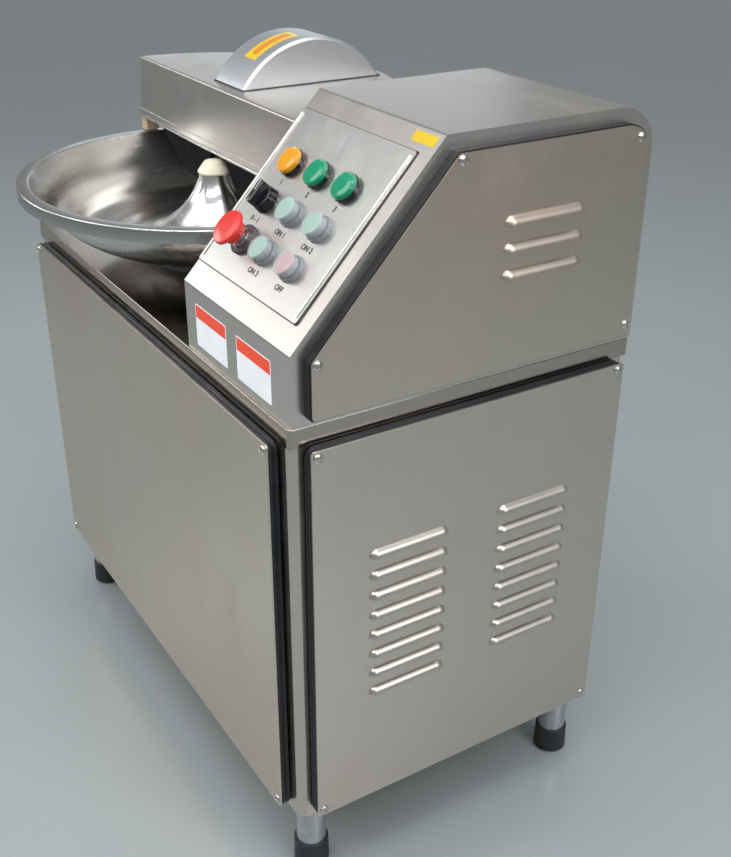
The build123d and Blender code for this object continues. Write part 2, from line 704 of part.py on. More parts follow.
def control_holes():
    """Round clearance holes for the nine switches and lamps."""
    places = [*LAMPS, *BUTTONS, SELECTOR, ESTOP]
    return [control_place(*place) * Cylinder(HOLE_RADIUS, 6 * PLATE_THICKNESS) for place in places]


def make_pod_shell():
    """Folded and welded housing, open at the base, with a flange behind its side panel."""
    shell = pod_prism(0, 0, POD_LEFT, RIGHT)
    shell -= pod_prism(POD_SHEET, -POD_SHEET, POD_LEFT + POD_SHEET, RIGHT - POD_SHEET)
    shell -= pod_prism(POD_FLANGE, POD_FLANGE, RIGHT - 2 * POD_SHEET, RIGHT + 1)
    shell -= rod_x(POD_LEFT - 1, POD_LEFT + POD_SHEET + 1, SHAFT_Y, SHAFT_Z, BARREL_HOUSING_RADIUS + SNUG)
    for hole in control_holes():
        shell -= hole
    for place, axis in pod_screw_places():
        shell -= screw_hole(place, axis)
    return shell


def make_pod_side_panel():
    """Side panel of the housing with three louvres."""
    x1 = RIGHT + PANEL_STANDOFF
    panel = pod_prism(POD_PANEL_INSET, POD_PANEL_BASE, x1 - PANEL_THICKNESS, x1)
    for place, axis in pod_screw_places():
        panel -= screw_hole(place, axis)
    rows = range(POD_LOUVRE_ROWS)
    places = [(CABINET_DEPTH - POD_LOUVRE_INSET, DECK_HEIGHT + POD_LOUVRE_TOP - row * POD_LOUVRE_PITCH) for row in rows]
    return with_louvres(panel, places)


def make_pod_gasket():
    """Rubber seal frame behind the housing's side panel."""
    x1 = RIGHT + PANEL_STANDOFF - PANEL_THICKNESS
    outer = POD_PANEL_INSET - GASKET_PROUD
    inner = outer + GASKET_WIDTH
    gasket = pod_prism(outer, POD_PANEL_BASE - GASKET_PROUD, RIGHT, x1)
    gasket -= pod_prism(inner, POD_PANEL_BASE - GASKET_PROUD + GASKET_WIDTH, RIGHT - 1, x1 + 1)
    for place, axis in pod_screw_places():
        gasket -= screw_hole(place, axis)
    return gasket


def make_control_plate():
    """Plate on the slope that carries the switches, with a raised rib down each side."""
    x0 = POD_LEFT + PLATE_MARGIN_LEFT
    x1 = RIGHT - PLATE_MARGIN_RIGHT
    length = PLATE_HIGH - PLATE_LOW
    middle = slope_place((x0 + x1) / 2, (PLATE_LOW + PLATE_HIGH) / 2)
    plate = extrude(middle * RectangleRounded(x1 - x0, length, PLATE_CORNER), PLATE_THICKNESS)
    for x in (x0 + 2 * PLATE_RIB, x1 - 2 * PLATE_RIB):
        centre = slope_place(x, (PLATE_LOW + PLATE_HIGH) / 2, PLATE_THICKNESS)
        rib = centre * Rot(90, 0, 0) * Cylinder(PLATE_RIB, length - 4 * PLATE_CORNER)
        plate += rib & (centre * Pos(0, 0, PLATE_RIB) * Box(4 * PLATE_RIB, length, 2 * PLATE_RIB))
    for hole in control_holes():
        plate -= hole
    return plate


# ---- switches and lamps ----------------------------------------------------------------
LAMPS = (("left", "top"), ("middle", "top"), ("right", "top"))
BUTTONS = (("middle", "centre"), ("right", "centre"), ("middle", "bottom"), ("right", "bottom"))
SELECTOR = ("left", "centre")
ESTOP = ("left", "bottom", ESTOP_ASIDE)


def switch_barrel(bore_radius, bore_depth):
    """Threaded barrel under the plate with its contact block; the bore opens upward."""
    barrel = Pos(0, 0, -BARREL_DEPTH / 2) * Cylinder(BARREL_RADIUS, BARREL_DEPTH)
    contact = Pos(0, 0, -BARREL_DEPTH - BLOCK_DEPTH / 2) * Box(BLOCK_SIZE, BLOCK_SIZE, BLOCK_DEPTH)
    barrel += fillet(contact.edges().filter_by(Axis.Z), PLATE_CORNER)
    return barrel - Pos(0, 0, -bore_depth / 2) * Cylinder(bore_radius, bore_depth)


def make_lamp_bezels():
    """Black bezels, barrels and lamp blocks of the three pilot lamps."""
    bore = LENS_STEM_RADIUS + SNUG
    bezel = turned([(bore, 0), (BEZEL_RADIUS, 0), (BEZEL_RADIUS - 0.8, BEZEL_HEIGHT), (bore, BEZEL_HEIGHT)])
    bezel += switch_barrel(bore, BEZEL_HEIGHT)
    return group([control_place(*place) * bezel for place in LAMPS])


def lamp_lens():
    """Domed lens with the stem that plugs it into its bezel."""
    top = BEZEL_HEIGHT + LENS_HEIGHT
    points = [(0, 0), (LENS_STEM_RADIUS, 0), (LENS_STEM_RADIUS, BEZEL_HEIGHT), (LENS_RADIUS, BEZEL_HEIGHT),
              (LENS_RADIUS, top - 3), (LENS_RADIUS * 0.6, top), (0, top)]
    return turned(points, [0, 0, 0, 0, 2.5, 4, 0])


def make_yellow_lens():
    """Lens of the power lamp."""
    return control_place(*LAMPS[0]) * lamp_lens()


def make_green_lenses():
    """Lenses of the two running lamps."""
    return group([control_place(*place) * lamp_lens() for place in LAMPS[1:]])


def make_button_collars():
    """Fixed rings, barrels and contact blocks of the four push buttons."""
    floor = 1.0
    pocket = CAP_RADIUS + 4 * SLIP
    bore = PLUNGER_STEM_RADIUS + SLIP
    ring = turned([(bore, 0), (COLLAR_RING_RADIUS, 0), (COLLAR_RING_RADIUS - 0.5, COLLAR_RING_HEIGHT),
                   (pocket, COLLAR_RING_HEIGHT), (pocket, floor), (bore, floor)])
    ring += switch_barrel(bore, 4 * BUTTON_TRAVEL)
    return group([control_place(*place) * ring for place in BUTTONS])


def push_button(place):
    """Coloured plunger and the clear cap that seals it."""
    skirt = 1.0 + BUTTON_TRAVEL + 0.4
    inner = CAP_RADIUS - CAP_WALL
    head_top = CAP_HEIGHT - CAP_WALL
    plunger = turned([(0, -2 * BUTTON_TRAVEL), (PLUNGER_STEM_RADIUS, -2 * BUTTON_TRAVEL),
                      (PLUNGER_STEM_RADIUS, skirt), (PLUNGER_RADIUS, skirt),
                      (PLUNGER_RADIUS, head_top), (0, head_top)])
    cap = turned([(inner, skirt), (CAP_RADIUS, skirt), (CAP_RADIUS - 0.6, CAP_HEIGHT), (0, CAP_HEIGHT),
                  (0, head_top), (inner - 0.6, head_top)], [0, 0, 1.5, 0, 0, 1.0])
    return group([control_place(*place) * plunger, control_place(*place) * cap])


def make_selector_base():
    """Fixed ring, barrel and contact block of the speed selector."""
    bore = SELECTOR_STEM_RADIUS + SLIP
    ring = turned([(bore, 0), (COLLAR_RING_RADIUS, 0), (COLLAR_RING_RADIUS - 1, SELECTOR_BASE_HEIGHT),
                   (bore, SELECTOR_BASE_HEIGHT)])
    ring += switch_barrel(bore, 2 * SELECTOR_STEM_RADIUS)
    return control_place(*SELECTOR) * ring


def make_selector_knob():
    """Turning knob: a disc with a finger bar across it, on a stem."""
    low = SELECTOR_BASE_HEIGHT + 0.3
    stem = -SELECTOR_STEM_RADIUS
    knob = turned([(0, stem), (SELECTOR_STEM_RADIUS, stem), (SELECTOR_STEM_RADIUS, low),
                   (SELECTOR_RADIUS, low), (SELECTOR_RADIUS - 1, low + SELECTOR_DISC_HEIGHT),
                   (0, low + SELECTOR_DISC_HEIGHT)])
    rise = SELECTOR_DISC_HEIGHT / 2 + SELECTOR_BAR_HEIGHT
    bar = Box(SELECTOR_BAR_WIDTH, 2 * SELECTOR_RADIUS - 2, rise)
    bar = fillet(bar.edges().filter_by(Axis.Z), SELECTOR_BAR_WIDTH * 0.35)
    bar = chamfer(bar.faces().sort_by(Axis.Z)[-1].edges(), 1)
    knob += Pos(0, 0, low + SELECTOR_DISC_HEIGHT / 2 + rise / 2) * bar
    return control_place(*SELECTOR) * knob


def make_estop_collar():
    """Grey base, metal collar, barrel and contact block of the emergency stop."""
    bore = ESTOP_STEM_RADIUS + SLIP
    ring = turned([(bore, 0), (ESTOP_BASE_RADIUS, 0), (ESTOP_BASE_RADIUS, ESTOP_BASE_HEIGHT - 1),
                   (ESTOP_BASE_RADIUS - 1, ESTOP_BASE_HEIGHT), (ESTOP_COLLAR_RADIUS, ESTOP_BASE_HEIGHT),
                   (ESTOP_COLLAR_RADIUS, ESTOP_COLLAR_HEIGHT), (bore, ESTOP_COLLAR_HEIGHT)])
    ring += switch_barrel(bore, 2.5 * ESTOP_STEM_RADIUS)
    return control_place(*ESTOP) * ring


def make_estop_stem():
    """Sliding stem under the mushroom head."""
    stem = turned([(0, -ESTOP_STEM_RADIUS), (ESTOP_STEM_RADIUS, -ESTOP_STEM_RADIUS),
                   (ESTOP_STEM_RADIUS, ESTOP_HEAD_TOP - ESTOP_STEM_RADIUS), (0, ESTOP_HEAD_TOP - ESTOP_STEM_RADIUS)])
    return control_place(*ESTOP) * stem


def make_estop_head():
    """Red mushroom head that turns on its stem to release."""
    bore = ESTOP_STEM_RADIUS + SLIP
    roof = ESTOP_HEAD_TOP - ESTOP_STEM_RADIUS + 0.3
    disc = ESTOP_HEAD_TOP - ESTOP_RIM
    head = turned([(bore, ESTOP_HEAD_BOTTOM), (ESTOP_NECK_RADIUS, ESTOP_HEAD_BOTTOM),
                   (ESTOP_NECK_RADIUS + 1, disc - 2), (ESTOP_HEAD_RADIUS, disc),
                   (ESTOP_HEAD_RADIUS - 0.5, ESTOP_HEAD_TOP - 1), (0, ESTOP_HEAD_TOP),
                   (0, roof), (bore, roof)], [0, 1, 1.5, 1, 2, 0, 0, 0])
    return control_place(*ESTOP) * head


# ---- bowl and its drive ----------------------------------------------------------------
def bowl_place():
    """Bowl axis at deck height."""
    return Pos(BOWL_X, BOWL_Y, DECK_HEIGHT)


def trough_radius_at(height, radius, side):
    """Distance from the bowl axis where a trough arc reaches a height on one side."""
    half = math.sqrt(radius ** 2 - (TROUGH_CENTRE_HEIGHT - height) ** 2)
    return TROUGH_CENTRE_RADIUS + side * half


def make_bowl():
    """Spun bowl: ring-shaped trough round a central hub, with a deep folded rim."""
    flare = math.radians(TROUGH_FLARE)
    outer_radius = TROUGH_RADIUS + BOWL_WALL
    centre = (TROUGH_CENTRE_RADIUS, TROUGH_CENTRE_HEIGHT)
    hub_top = (trough_radius_at(HUB_FACE, TROUGH_RADIUS, -1), HUB_FACE)
    hub_low = (trough_radius_at(HUB_BASE, outer_radius, -1), HUB_BASE)
    inner_end = (centre[0] + TROUGH_RADIUS * math.cos(flare), centre[1] - TROUGH_RADIUS * math.sin(flare))
    outer_end = (centre[0] + outer_radius * math.cos(flare), centre[1] - outer_radius * math.sin(flare))
    slope = math.tan(flare)
    inner_lip = (inner_end[0] + (RIM_TOP - inner_end[1]) * slope, RIM_TOP)
    fold_height = RIM_TOP - BOWL_WALL
    outer_lip = (outer_end[0] + (fold_height - outer_end[1]) * slope, fold_height)
    stud_bore = STUD_RADIUS + 0.5
    pilot_bore = PILOT_RADIUS + SLIP
    disc_base = HUB_FACE - HUB_DISC
    band = RIM_RADIUS - BOWL_WALL
    bottom = (TROUGH_CENTRE_RADIUS, TROUGH_CENTRE_HEIGHT - TROUGH_RADIUS)
    outer_bottom = (TROUGH_CENTRE_RADIUS, bottom[1] - BOWL_WALL)
    rim = FilletPolyline(inner_end, inner_lip, (RIM_RADIUS, RIM_TOP), (RIM_RADIUS, RIM_TOP - RIM_BAND),
                         (band, RIM_TOP - RIM_BAND), (band, fold_height), outer_lip, outer_end,
                         radius=[RIM_EDGE, RIM_EDGE, 0, 0, 0, 0])
    edges = [
        Line((stud_bore, HUB_FACE), hub_top),
        ThreePointArc(hub_top, bottom, inner_end),
        rim,
        ThreePointArc(outer_end, outer_bottom, hub_low),
        Polyline(hub_low, (pilot_bore, HUB_BASE), (pilot_bore, disc_base), (stud_bore, disc_base),
                 (stud_bore, HUB_FACE)),
    ]
    profile = make_face(Curve() + edges)
    return bowl_place() * revolve(Plane.XZ * profile, Axis.Z)


def make_bowl_spindle():
    """Vertical shaft from the gearbox to the bowl: flange, pilot and threaded stud."""
    floor = -HOUSING_NECK_DEPTH - GEARBOX_HEIGHT + 2 * GEARBOX_FLOOR
    flange_base = HUB_BASE - SPINDLE_FLANGE
    pilot_top = HUB_FACE - HUB_DISC - 2
    spindle = turned([(0, floor), (SPINDLE_RADIUS, floor), (SPINDLE_RADIUS, flange_base),
                      (SPINDLE_FLANGE_RADIUS, flange_base), (SPINDLE_FLANGE_RADIUS, HUB_BASE),
                      (PILOT_RADIUS, HUB_BASE), (PILOT_RADIUS, pilot_top), (STUD_RADIUS, pilot_top),
                      (STUD_RADIUS, HUB_FACE + STUD_LENGTH), (0, HUB_FACE + STUD_LENGTH)])
    return bowl_place() * spindle


def make_bowl_nut():
    """Ivory plastic nut on the hub that clamps the bowl to its spindle."""
    bore = STUD_RADIUS + SNUG
    top = HUB_FACE + NUT_HEIGHT
    shoulder = HUB_FACE + NUT_HEIGHT * 0.29
    nut = turned([(bore, HUB_FACE), (NUT_RADIUS - 0.5, HUB_FACE), (NUT_RADIUS, shoulder), (NUT_TIP_RADIUS, top),
                  (0, top), (0, HUB_FACE + STUD_LENGTH + 1), (bore, HUB_FACE + STUD_LENGTH + 1)],
                 [0, 0, 3, 5, 0, 0, 0])
    return bowl_place() * nut


def make_bowl_bearing_housing():
    """Flanged housing on the deck whose neck passes through it to the gearbox."""
    bore = SPINDLE_RADIUS + 2.5
    seat = BOWL_BEARING_RADIUS + SNUG
    top = HOUSING_BOSS_TOP
    low = -HOUSING_NECK_DEPTH
    width = BOWL_BEARING_WIDTH
    housing = turned([(bore, low + width), (seat, low + width), (seat, low), (HOUSING_NECK_RADIUS, low),
                      (HOUSING_NECK_RADIUS, 0), (HOUSING_FLANGE_RADIUS, 0), (HOUSING_FLANGE_RADIUS, HOUSING_FLANGE),
                      (HOUSING_BOSS_RADIUS, HOUSING_FLANGE), (HOUSING_BOSS_RADIUS, top), (seat, top),
                      (seat, top - width), (bore, top - width)],
                     [0, 0, 0, 0, 0, 0, 3, 4, 1, 0, 0, 0])
    return bowl_place() * housing


def make_bearings():
    """Two bearings of the bowl spindle and two of the knife shaft, as plain rings."""
    rings = []
    for z0 in (-HOUSING_NECK_DEPTH, HOUSING_BOSS_TOP - BOWL_BEARING_WIDTH):
        ring = turned([(SPINDLE_RADIUS + SLIP, z0), (BOWL_BEARING_RADIUS, z0),
                       (BOWL_BEARING_RADIUS, z0 + BOWL_BEARING_WIDTH), (SPINDLE_RADIUS + SLIP, z0 + BOWL_BEARING_WIDTH)])
        rings.append(bowl_place() * ring)
    nose = SNOUT_END + BEARING_SETBACK
    rings.append(ring_x(nose, nose + NOSE_BEARING_WIDTH, SHAFT_Y, SHAFT_Z, NOSE_BEARING_RADIUS, SHAFT_RADIUS + SLIP))
    tail = BARREL_RIGHT - BEARING_SETBACK - TAIL_BEARING_WIDTH
    rings.append(ring_x(tail, tail + TAIL_BEARING_WIDTH, SHAFT_Y, SHAFT_Z, TAIL_BEARING_RADIUS, SHAFT_RADIUS + SLIP))
    return group(rings)


def make_bowl_gearbox():
    """Worm gearbox that hangs from the bearing housing and turns the bowl spindle."""
    top = HOUSING_BASE
    low = top - GEARBOX_HEIGHT
    box = block(BOWL_X - GEARBOX_LENGTH / 2, BOWL_X + GEARBOX_LENGTH / 2,
                BOWL_Y - GEARBOX_WIDTH / 2, BOWL_Y + GEARBOX_WIDTH / 2, low, top)
    box = fillet(box.edges().filter_by(Axis.Z), 4 * PLATE_CORNER)
    box += rod_x(BOWL_X - GEARBOX_LENGTH / 2 - BOWL_MOTOR_FLANGE, BOWL_X + GEARBOX_LENGTH / 2 + BOWL_MOTOR_FLANGE / 2,
                 BOWL_Y + WORM_OFFSET, low + GEARBOX_HEIGHT / 2, WORM_RADIUS)
    return box - rod_z(BOWL_X, BOWL_Y, low + GEARBOX_FLOOR, top + 1, SPINDLE_RADIUS + SLIP)


def make_bowl_motor():
    """Flange motor on the gearbox's worm."""
    z = HOUSING_BASE - GEARBOX_HEIGHT / 2
    y = BOWL_Y + WORM_OFFSET
    face = BOWL_X - GEARBOX_LENGTH / 2 - BOWL_MOTOR_FLANGE
    motor = rod_x(face - BOWL_MOTOR_FLANGE, face, y, z, BOWL_MOTOR_FLANGE_RADIUS)
    motor += finned_barrel(face - BOWL_MOTOR_LENGTH, face - BOWL_MOTOR_FLANGE, y, z, BOWL_MOTOR_RADIUS)
    tail = rod_x(face - BOWL_MOTOR_LENGTH - FAN_COVER_LENGTH / 3, face - BOWL_MOTOR_LENGTH, y, z, BOWL_MOTOR_RADIUS)
    motor += chamfer(tail.faces().sort_by(Axis.X)[0].edges(), 2 * PLATE_CORNER)
    return motor


# ---- knife head ------------------------------------------------------------------------
def polar(radius, degrees):
    """Point at a radius and angle about the knife shaft."""
    angle = math.radians(degrees)
    return (radius * math.cos(angle), radius * math.sin(angle))


def knife_blade():
    """Sickle knife: a spiral cutting edge swept back from the hub to the tip."""
    lead = ThreePointArc(polar(KNIFE_HUB_RADIUS, -70), polar(KNIFE_RADIUS * 0.72, -8), polar(KNIFE_RADIUS, 62))
    tip = ThreePointArc(polar(KNIFE_RADIUS, 62), polar(KNIFE_RADIUS * 0.97, 68), polar(KNIFE_RADIUS * 0.9, 73))
    trail = ThreePointArc(polar(KNIFE_RADIUS * 0.9, 73), polar(KNIFE_RADIUS * 0.5, 48), polar(KNIFE_HUB_RADIUS, 75))
    root = Line(polar(KNIFE_HUB_RADIUS, 75), polar(KNIFE_HUB_RADIUS, -70))
    outline = make_face(Curve() + [lead, tip, trail, root])
    blade = Pos(0, 0, -KNIFE_BLADE / 2) * extrude(outline, KNIFE_BLADE)
    side = blade.faces().sort_by(Axis.Z)[-1]
    lead_edge = side.edges().sort_by(lambda edge: edge.length)[-1]
    blade = chamfer(lead_edge, KNIFE_BEVEL, KNIFE_BLADE - KNIFE_EDGE, reference=side)
    hub = Cylinder(KNIFE_HUB_RADIUS, KNIFE_HUB_WIDTH)
    hub = chamfer(hub.edges().filter_by(GeomType.CIRCLE), 1)
    knife = blade + hub
    return knife - Cylinder(SHAFT_RADIUS + SNUG, 2 * KNIFE_HUB_WIDTH)


def make_knives():
    """Three sickle knives along the shaft, each turned on from the last."""
    knives = []
    step = KNIFE_HUB_WIDTH + SPACER_WIDTH
    for index in range(KNIFE_COUNT):
        x = STACK_LEFT + step / 2 + index * step
        turn = Rot(index * 360 / KNIFE_COUNT, 0, 0)
        knives.append(Pos(x, SHAFT_Y, SHAFT_Z) * turn * Rot(0, 90, 0) * knife_blade())
    return group(knives)


def make_knife_spacers():
    """Rings that hold the knives apart: half rings of width at each end of the stack."""
    spacers = []
    x = STACK_LEFT
    widths = [SPACER_WIDTH / 2] + [SPACER_WIDTH] * (KNIFE_COUNT - 1) + [SPACER_WIDTH / 2]
    for width in widths:
        spacers.append(ring_x(x, x + width, SHAFT_Y, SHAFT_Z, SPACER_RADIUS, SHAFT_RADIUS + SNUG))
        x += width + KNIFE_HUB_WIDTH
    return group(spacers)


def make_knife_shaft():
    """Stepped shaft from the knife nut through its housing to the pulley."""
    shaft = rod_x(STACK_LEFT, PULLEY_RIGHT, SHAFT_Y, SHAFT_Z, SHAFT_RADIUS)
    shaft += rod_x(STACK_LEFT - SHAFT_END_LENGTH, STACK_LEFT, SHAFT_Y, SHAFT_Z, SHAFT_END_RADIUS)
    shaft += rod_x(STACK_RIGHT, STACK_RIGHT + SHAFT_COLLAR, SHAFT_Y, SHAFT_Z, SHAFT_COLLAR_RADIUS)
    shaft = chamfer(shaft.faces().sort_by(Axis.X)[0].edges(), 1.5)
    return chamfer(shaft.faces().sort_by(Axis.X)[-1].edges(), 1.5)


def make_knife_nut():
    """Hexagon nut that clamps the knife stack."""
    face = Pos(STACK_LEFT - KNIFE_NUT_WIDTH, SHAFT_Y, SHAFT_Z) * Rot(0, 90, 0)
    hexagon = RegularPolygon(KNIFE_NUT_ACROSS / 2, 6, major_radius=False)
    nut = extrude(face * hexagon, KNIFE_NUT_WIDTH)
    return nut - rod_x(STACK_LEFT - 2 * KNIFE_NUT_WIDTH, STACK_LEFT + 1, SHAFT_Y, SHAFT_Z, SHAFT_END_RADIUS + SNUG)


def make_knife_shaft_housing():
    """Pedestal bearing housing in the pod with a slim snout that reaches over the bowl."""
    y, z = SHAFT_Y, SHAFT_Z
    housing = rod_x(BARREL_LEFT, BARREL_RIGHT, y, z, BARREL_HOUSING_RADIUS)
    cone = Cone(BARREL_HOUSING_RADIUS - 4, SNOUT_RADIUS, SNOUT_CONE)
    housing += Pos(BARREL_LEFT - SNOUT_CONE / 2, y, z) * Rot(0, -90, 0) * cone
    housing += rod_x(SNOUT_END, BARREL_LEFT, y, z, SNOUT_RADIUS)
    x0 = POD_LEFT + 6 * POD_SHEET
    x1 = x0 + PEDESTAL_LENGTH
    foot = block(x0, x1, y - PEDESTAL_WIDTH / 2, y + PEDESTAL_WIDTH / 2, DECK_HEIGHT, DECK_HEIGHT + PEDESTAL_FOOT)
    housing += fillet(foot.edges().filter_by(Axis.Z), 2 * PLATE_CORNER)
    inset = PEDESTAL_FOOT / 2
    housing += block(x0 + inset, x1 - inset, y - PEDESTAL_WEB / 2, y + PEDESTAL_WEB / 2, DECK_HEIGHT + 1, z)
    housing -= rod_x(SNOUT_END - 1, BARREL_RIGHT + 1, y, z, SHAFT_BORE_RADIUS)
    nose = SNOUT_END + BEARING_SETBACK + NOSE_BEARING_WIDTH
    housing -= rod_x(SNOUT_END - 1, nose, y, z, NOSE_BEARING_RADIUS + SNUG)
    tail = BARREL_RIGHT - BEARING_SETBACK - TAIL_BEARING_WIDTH
    return housing - rod_x(tail, BARREL_RIGHT + 1, y, z, TAIL_BEARING_RADIUS + SNUG)


def make_lid_rest_ring():
    """Rubber sleeve on the snout that the slot of the cover closes onto."""
    x1 = BARREL_LEFT - SNOUT_CONE - 1
    outer = SNOUT_RADIUS + REST_RING_WALL
    return ring_x(x1 - REST_RING_LENGTH, x1, SHAFT_Y, SHAFT_Z, outer, SNOUT_RADIUS + SNUG)


# ---- belt drive and main motor ---------------------------------------------------------
def groove_positions():
    """Distance of each belt from the middle of the pulleys."""
    return [(index - (BELT_COUNT - 1) / 2) * BELT_PITCH for index in range(BELT_COUNT)]


def pulley(pitch_radius, bore_radius):
    """V-belt pulley about Z with its grooves turned in."""
    rim = pitch_radius + PULLEY_RIM
    floor = pitch_radius + BELT_RIDE - BELT_DEPTH - 1.5
    taper = (BELT_TOP - BELT_BASE) / 2 / BELT_DEPTH
    wide = BELT_TOP / 2 + BELT_CLEARANCE + (PULLEY_RIM - BELT_RIDE) * taper
    narrow = wide - (rim - floor) * taper
    half = PULLEY_WIDTH / 2
    points = [(bore_radius + SNUG, -half), (rim, -half)]
    for z in groove_positions():
        points += [(rim, z - wide), (floor, z - narrow), (floor, z + narrow), (rim, z + wide)]
    points += [(rim, half), (bore_radius + SNUG, half)]
    return turned(points)


def make_shaft_pulley():
    """Pulley on the knife shaft."""
    return Pos(PULLEY_X, SHAFT_Y, SHAFT_Z) * Rot(0, 90, 0) * pulley(KNIFE_PULLEY_PITCH, SHAFT_RADIUS)


def make_motor_pulley():
    """Pulley on the motor shaft."""
    place = Pos(PULLEY_X, SHAFT_Y, MOTOR_AXIS_HEIGHT) * Rot(0, 90, 0)
    return place * pulley(MOTOR_PULLEY_PITCH, MOTOR_SHAFT_RADIUS)


def make_motor_shaft():
    """Motor shaft end that carries the pulley."""
    x0 = MOTOR_RIGHT - MOTOR_SHIELD + 1
    shaft = rod_x(x0, PULLEY_RIGHT + 2, SHAFT_Y, MOTOR_AXIS_HEIGHT, MOTOR_SHAFT_RADIUS)
    return chamfer(shaft.faces().sort_by(Axis.X)[-1].edges(), 1.5)


def belt_loop():
    """Closed path of the belt's back round both pulleys, in the (y, z) plane."""
    small = KNIFE_PULLEY_PITCH + BELT_RIDE
    large = MOTOR_PULLEY_PITCH + BELT_RIDE
    span = SHAFT_Z - MOTOR_AXIS_HEIGHT
    lean = math.asin((large - small) / span)
    ny, nz = math.cos(lean), math.sin(lean)
    upper = (small * ny, span + small * nz)
    lower = (large * ny, large * nz)
    right = Line(lower, upper)
    over = ThreePointArc(upper, (0, span + small), (-upper[0], upper[1]))
    left = Line((-upper[0], upper[1]), (-lower[0], lower[1]))
    under = ThreePointArc((-lower[0], lower[1]), (0, -large), lower)
    return Curve() + [right, over, left, under]


def make_drive_belts():
    """V-belts between the motor pulley and the knife pulley."""
    path = Pos(0, SHAFT_Y, MOTOR_AXIS_HEIGHT) * (Plane.YZ * belt_loop()).wire()
    start = path @ 0
    along = path % 0
    section_plane = Plane(start, x_dir=(1, 0, 0), z_dir=along)
    inward = -1 if section_plane.y_dir.dot(Vector(0, start.Y - SHAFT_Y, 0)) > 0 else 1
    top, base, deep = BELT_TOP / 2, BELT_BASE / 2, inward * BELT_DEPTH
    section = make_face(Polyline((-top, 0), (top, 0), (base, deep), (-base, deep), close=True))
    belt = sweep(section_plane * section, path)
    return group([Pos(PULLEY_X + offset, 0, 0) * belt for offset in groove_positions()])


def finned_barrel(x0, x1, y, z, radius):
    """Motor body along X: a drum with cooling fins round it."""
    section = Circle(radius) + [
        Rot(0, 0, index * 360 / MOTOR_FIN_COUNT) * Pos(radius, 0) * Rectangle(2 * MOTOR_FIN_HEIGHT, MOTOR_FIN_THICKNESS)
        for index in range(MOTOR_FIN_COUNT)
    ]
    return extrude(Pos(x0, y, z) * Rot(0, 90, 0) * section, x1 - x0)


def make_main_motor():
    """Foot-mounted motor with end shields and terminal box."""
    y, z = SHAFT_Y, MOTOR_AXIS_HEIGHT
    body = finned_barrel(MOTOR_LEFT + MOTOR_SHIELD, MOTOR_RIGHT - MOTOR_SHIELD, y, z, MOTOR_BODY_RADIUS)
    for x in (MOTOR_LEFT, MOTOR_RIGHT - MOTOR_SHIELD):
        shield = rod_x(x, x + MOTOR_SHIELD, y, z, MOTOR_BODY_RADIUS + 2)
        body += chamfer(shield.edges().filter_by(GeomType.CIRCLE), PLATE_CORNER)
    base = TRAY_TOP + MOUNT_THICKNESS
    for x in motor_foot_places():
        foot = block(x, x + MOTOR_FOOT_LENGTH, y - MOTOR_FOOT_WIDTH / 2, y + MOTOR_FOOT_WIDTH / 2,
                     base, base + MOTOR_FOOT_THICKNESS)
        web = block(x, x + MOTOR_FOOT_LENGTH, y - MOTOR_FOOT_WIDTH / 3, y + MOTOR_FOOT_WIDTH / 3, base + 1, z)
        body += [foot, web]
    length, width, height = TERMINAL_BOX
    middle = (MOTOR_LEFT + MOTOR_RIGHT) / 2
    box = block(middle - length / 2, middle + length / 2, y - width / 2, y + width / 2,
                z + MOTOR_BODY_RADIUS - 2 * MOTOR_FIN_HEIGHT, z + MOTOR_BODY_RADIUS + height)
    body += fillet(box.edges().filter_by(Axis.Z), PLATE_CORNER)
    return body - rod_x(MOTOR_RIGHT - MOTOR_SHIELD, MOTOR_RIGHT + 1, y, z, MOTOR_SHAFT_RADIUS + SLIP)


def motor_foot_places():
    """X of the left side of each motor foot."""
    return (MOTOR_LEFT + MOTOR_SHIELD + MOTOR_FOOT_LENGTH, MOTOR_RIGHT - MOTOR_SHIELD - 2 * MOTOR_FOOT_LENGTH)


def make_motor_fan_cover():
    """Thin cup over the motor's fan, with a ring of air holes in its end."""
    y, z = SHAFT_Y, MOTOR_AXIS_HEIGHT
    x0 = MOTOR_LEFT - FAN_COVER_LENGTH
    radius = MOTOR_BODY_RADIUS
    cover = rod_x(x0, MOTOR_LEFT, y, z, radius)
    cover = chamfer(cover.faces().sort_by(Axis.X)[0].edges(), 2 * PLATE_CORNER)
    hollow = rod_x(x0 + FAN_COVER_WALL, MOTOR_LEFT + 1, y, z, radius - FAN_COVER_WALL)
    cover -= chamfer(hollow.faces().sort_by(Axis.X)[0].edges(), 2 * PLATE_CORNER)
    for index in range(FAN_HOLE_COUNT):
        dy, dz = polar(radius * 0.6, index * 360 / FAN_HOLE_COUNT)
        cover -= rod_x(x0 - 1, x0 + 2 * FAN_COVER_WALL, y + dy, z + dz, FAN_HOLE_RADIUS)
    return cover


def make_motor_mount():
    """Plate on the floor tray that the motor's feet stand on."""
    feet = motor_foot_places()
    x0 = feet[0] - MOUNT_MARGIN
    x1 = feet[1] + MOTOR_FOOT_LENGTH + MOUNT_MARGIN
    half = MOTOR_FOOT_WIDTH / 2 + MOUNT_MARGIN
    plate = block(x0, x1, SHAFT_Y - half, SHAFT_Y + half, TRAY_TOP, TRAY_TOP + MOUNT_THICKNESS)
    plate = fillet(plate.edges().filter_by(Axis.Z), 2 * PLATE_CORNER)
    length = x1 - x0 - 4 * MOTOR_FOOT_LENGTH
    window = block(BOWL_X, BOWL_X + length, SHAFT_Y - half / 2, SHAFT_Y + half / 2, TRAY_TOP - 1, TRAY_TOP + 2 * MOUNT_THICKNESS)
    shift = (x0 + x1) / 2 - BOWL_X - length / 2
    return plate - Pos(shift, 0, 0) * fillet(window.edges().filter_by(Axis.Z), 2 * PLATE_CORNER)


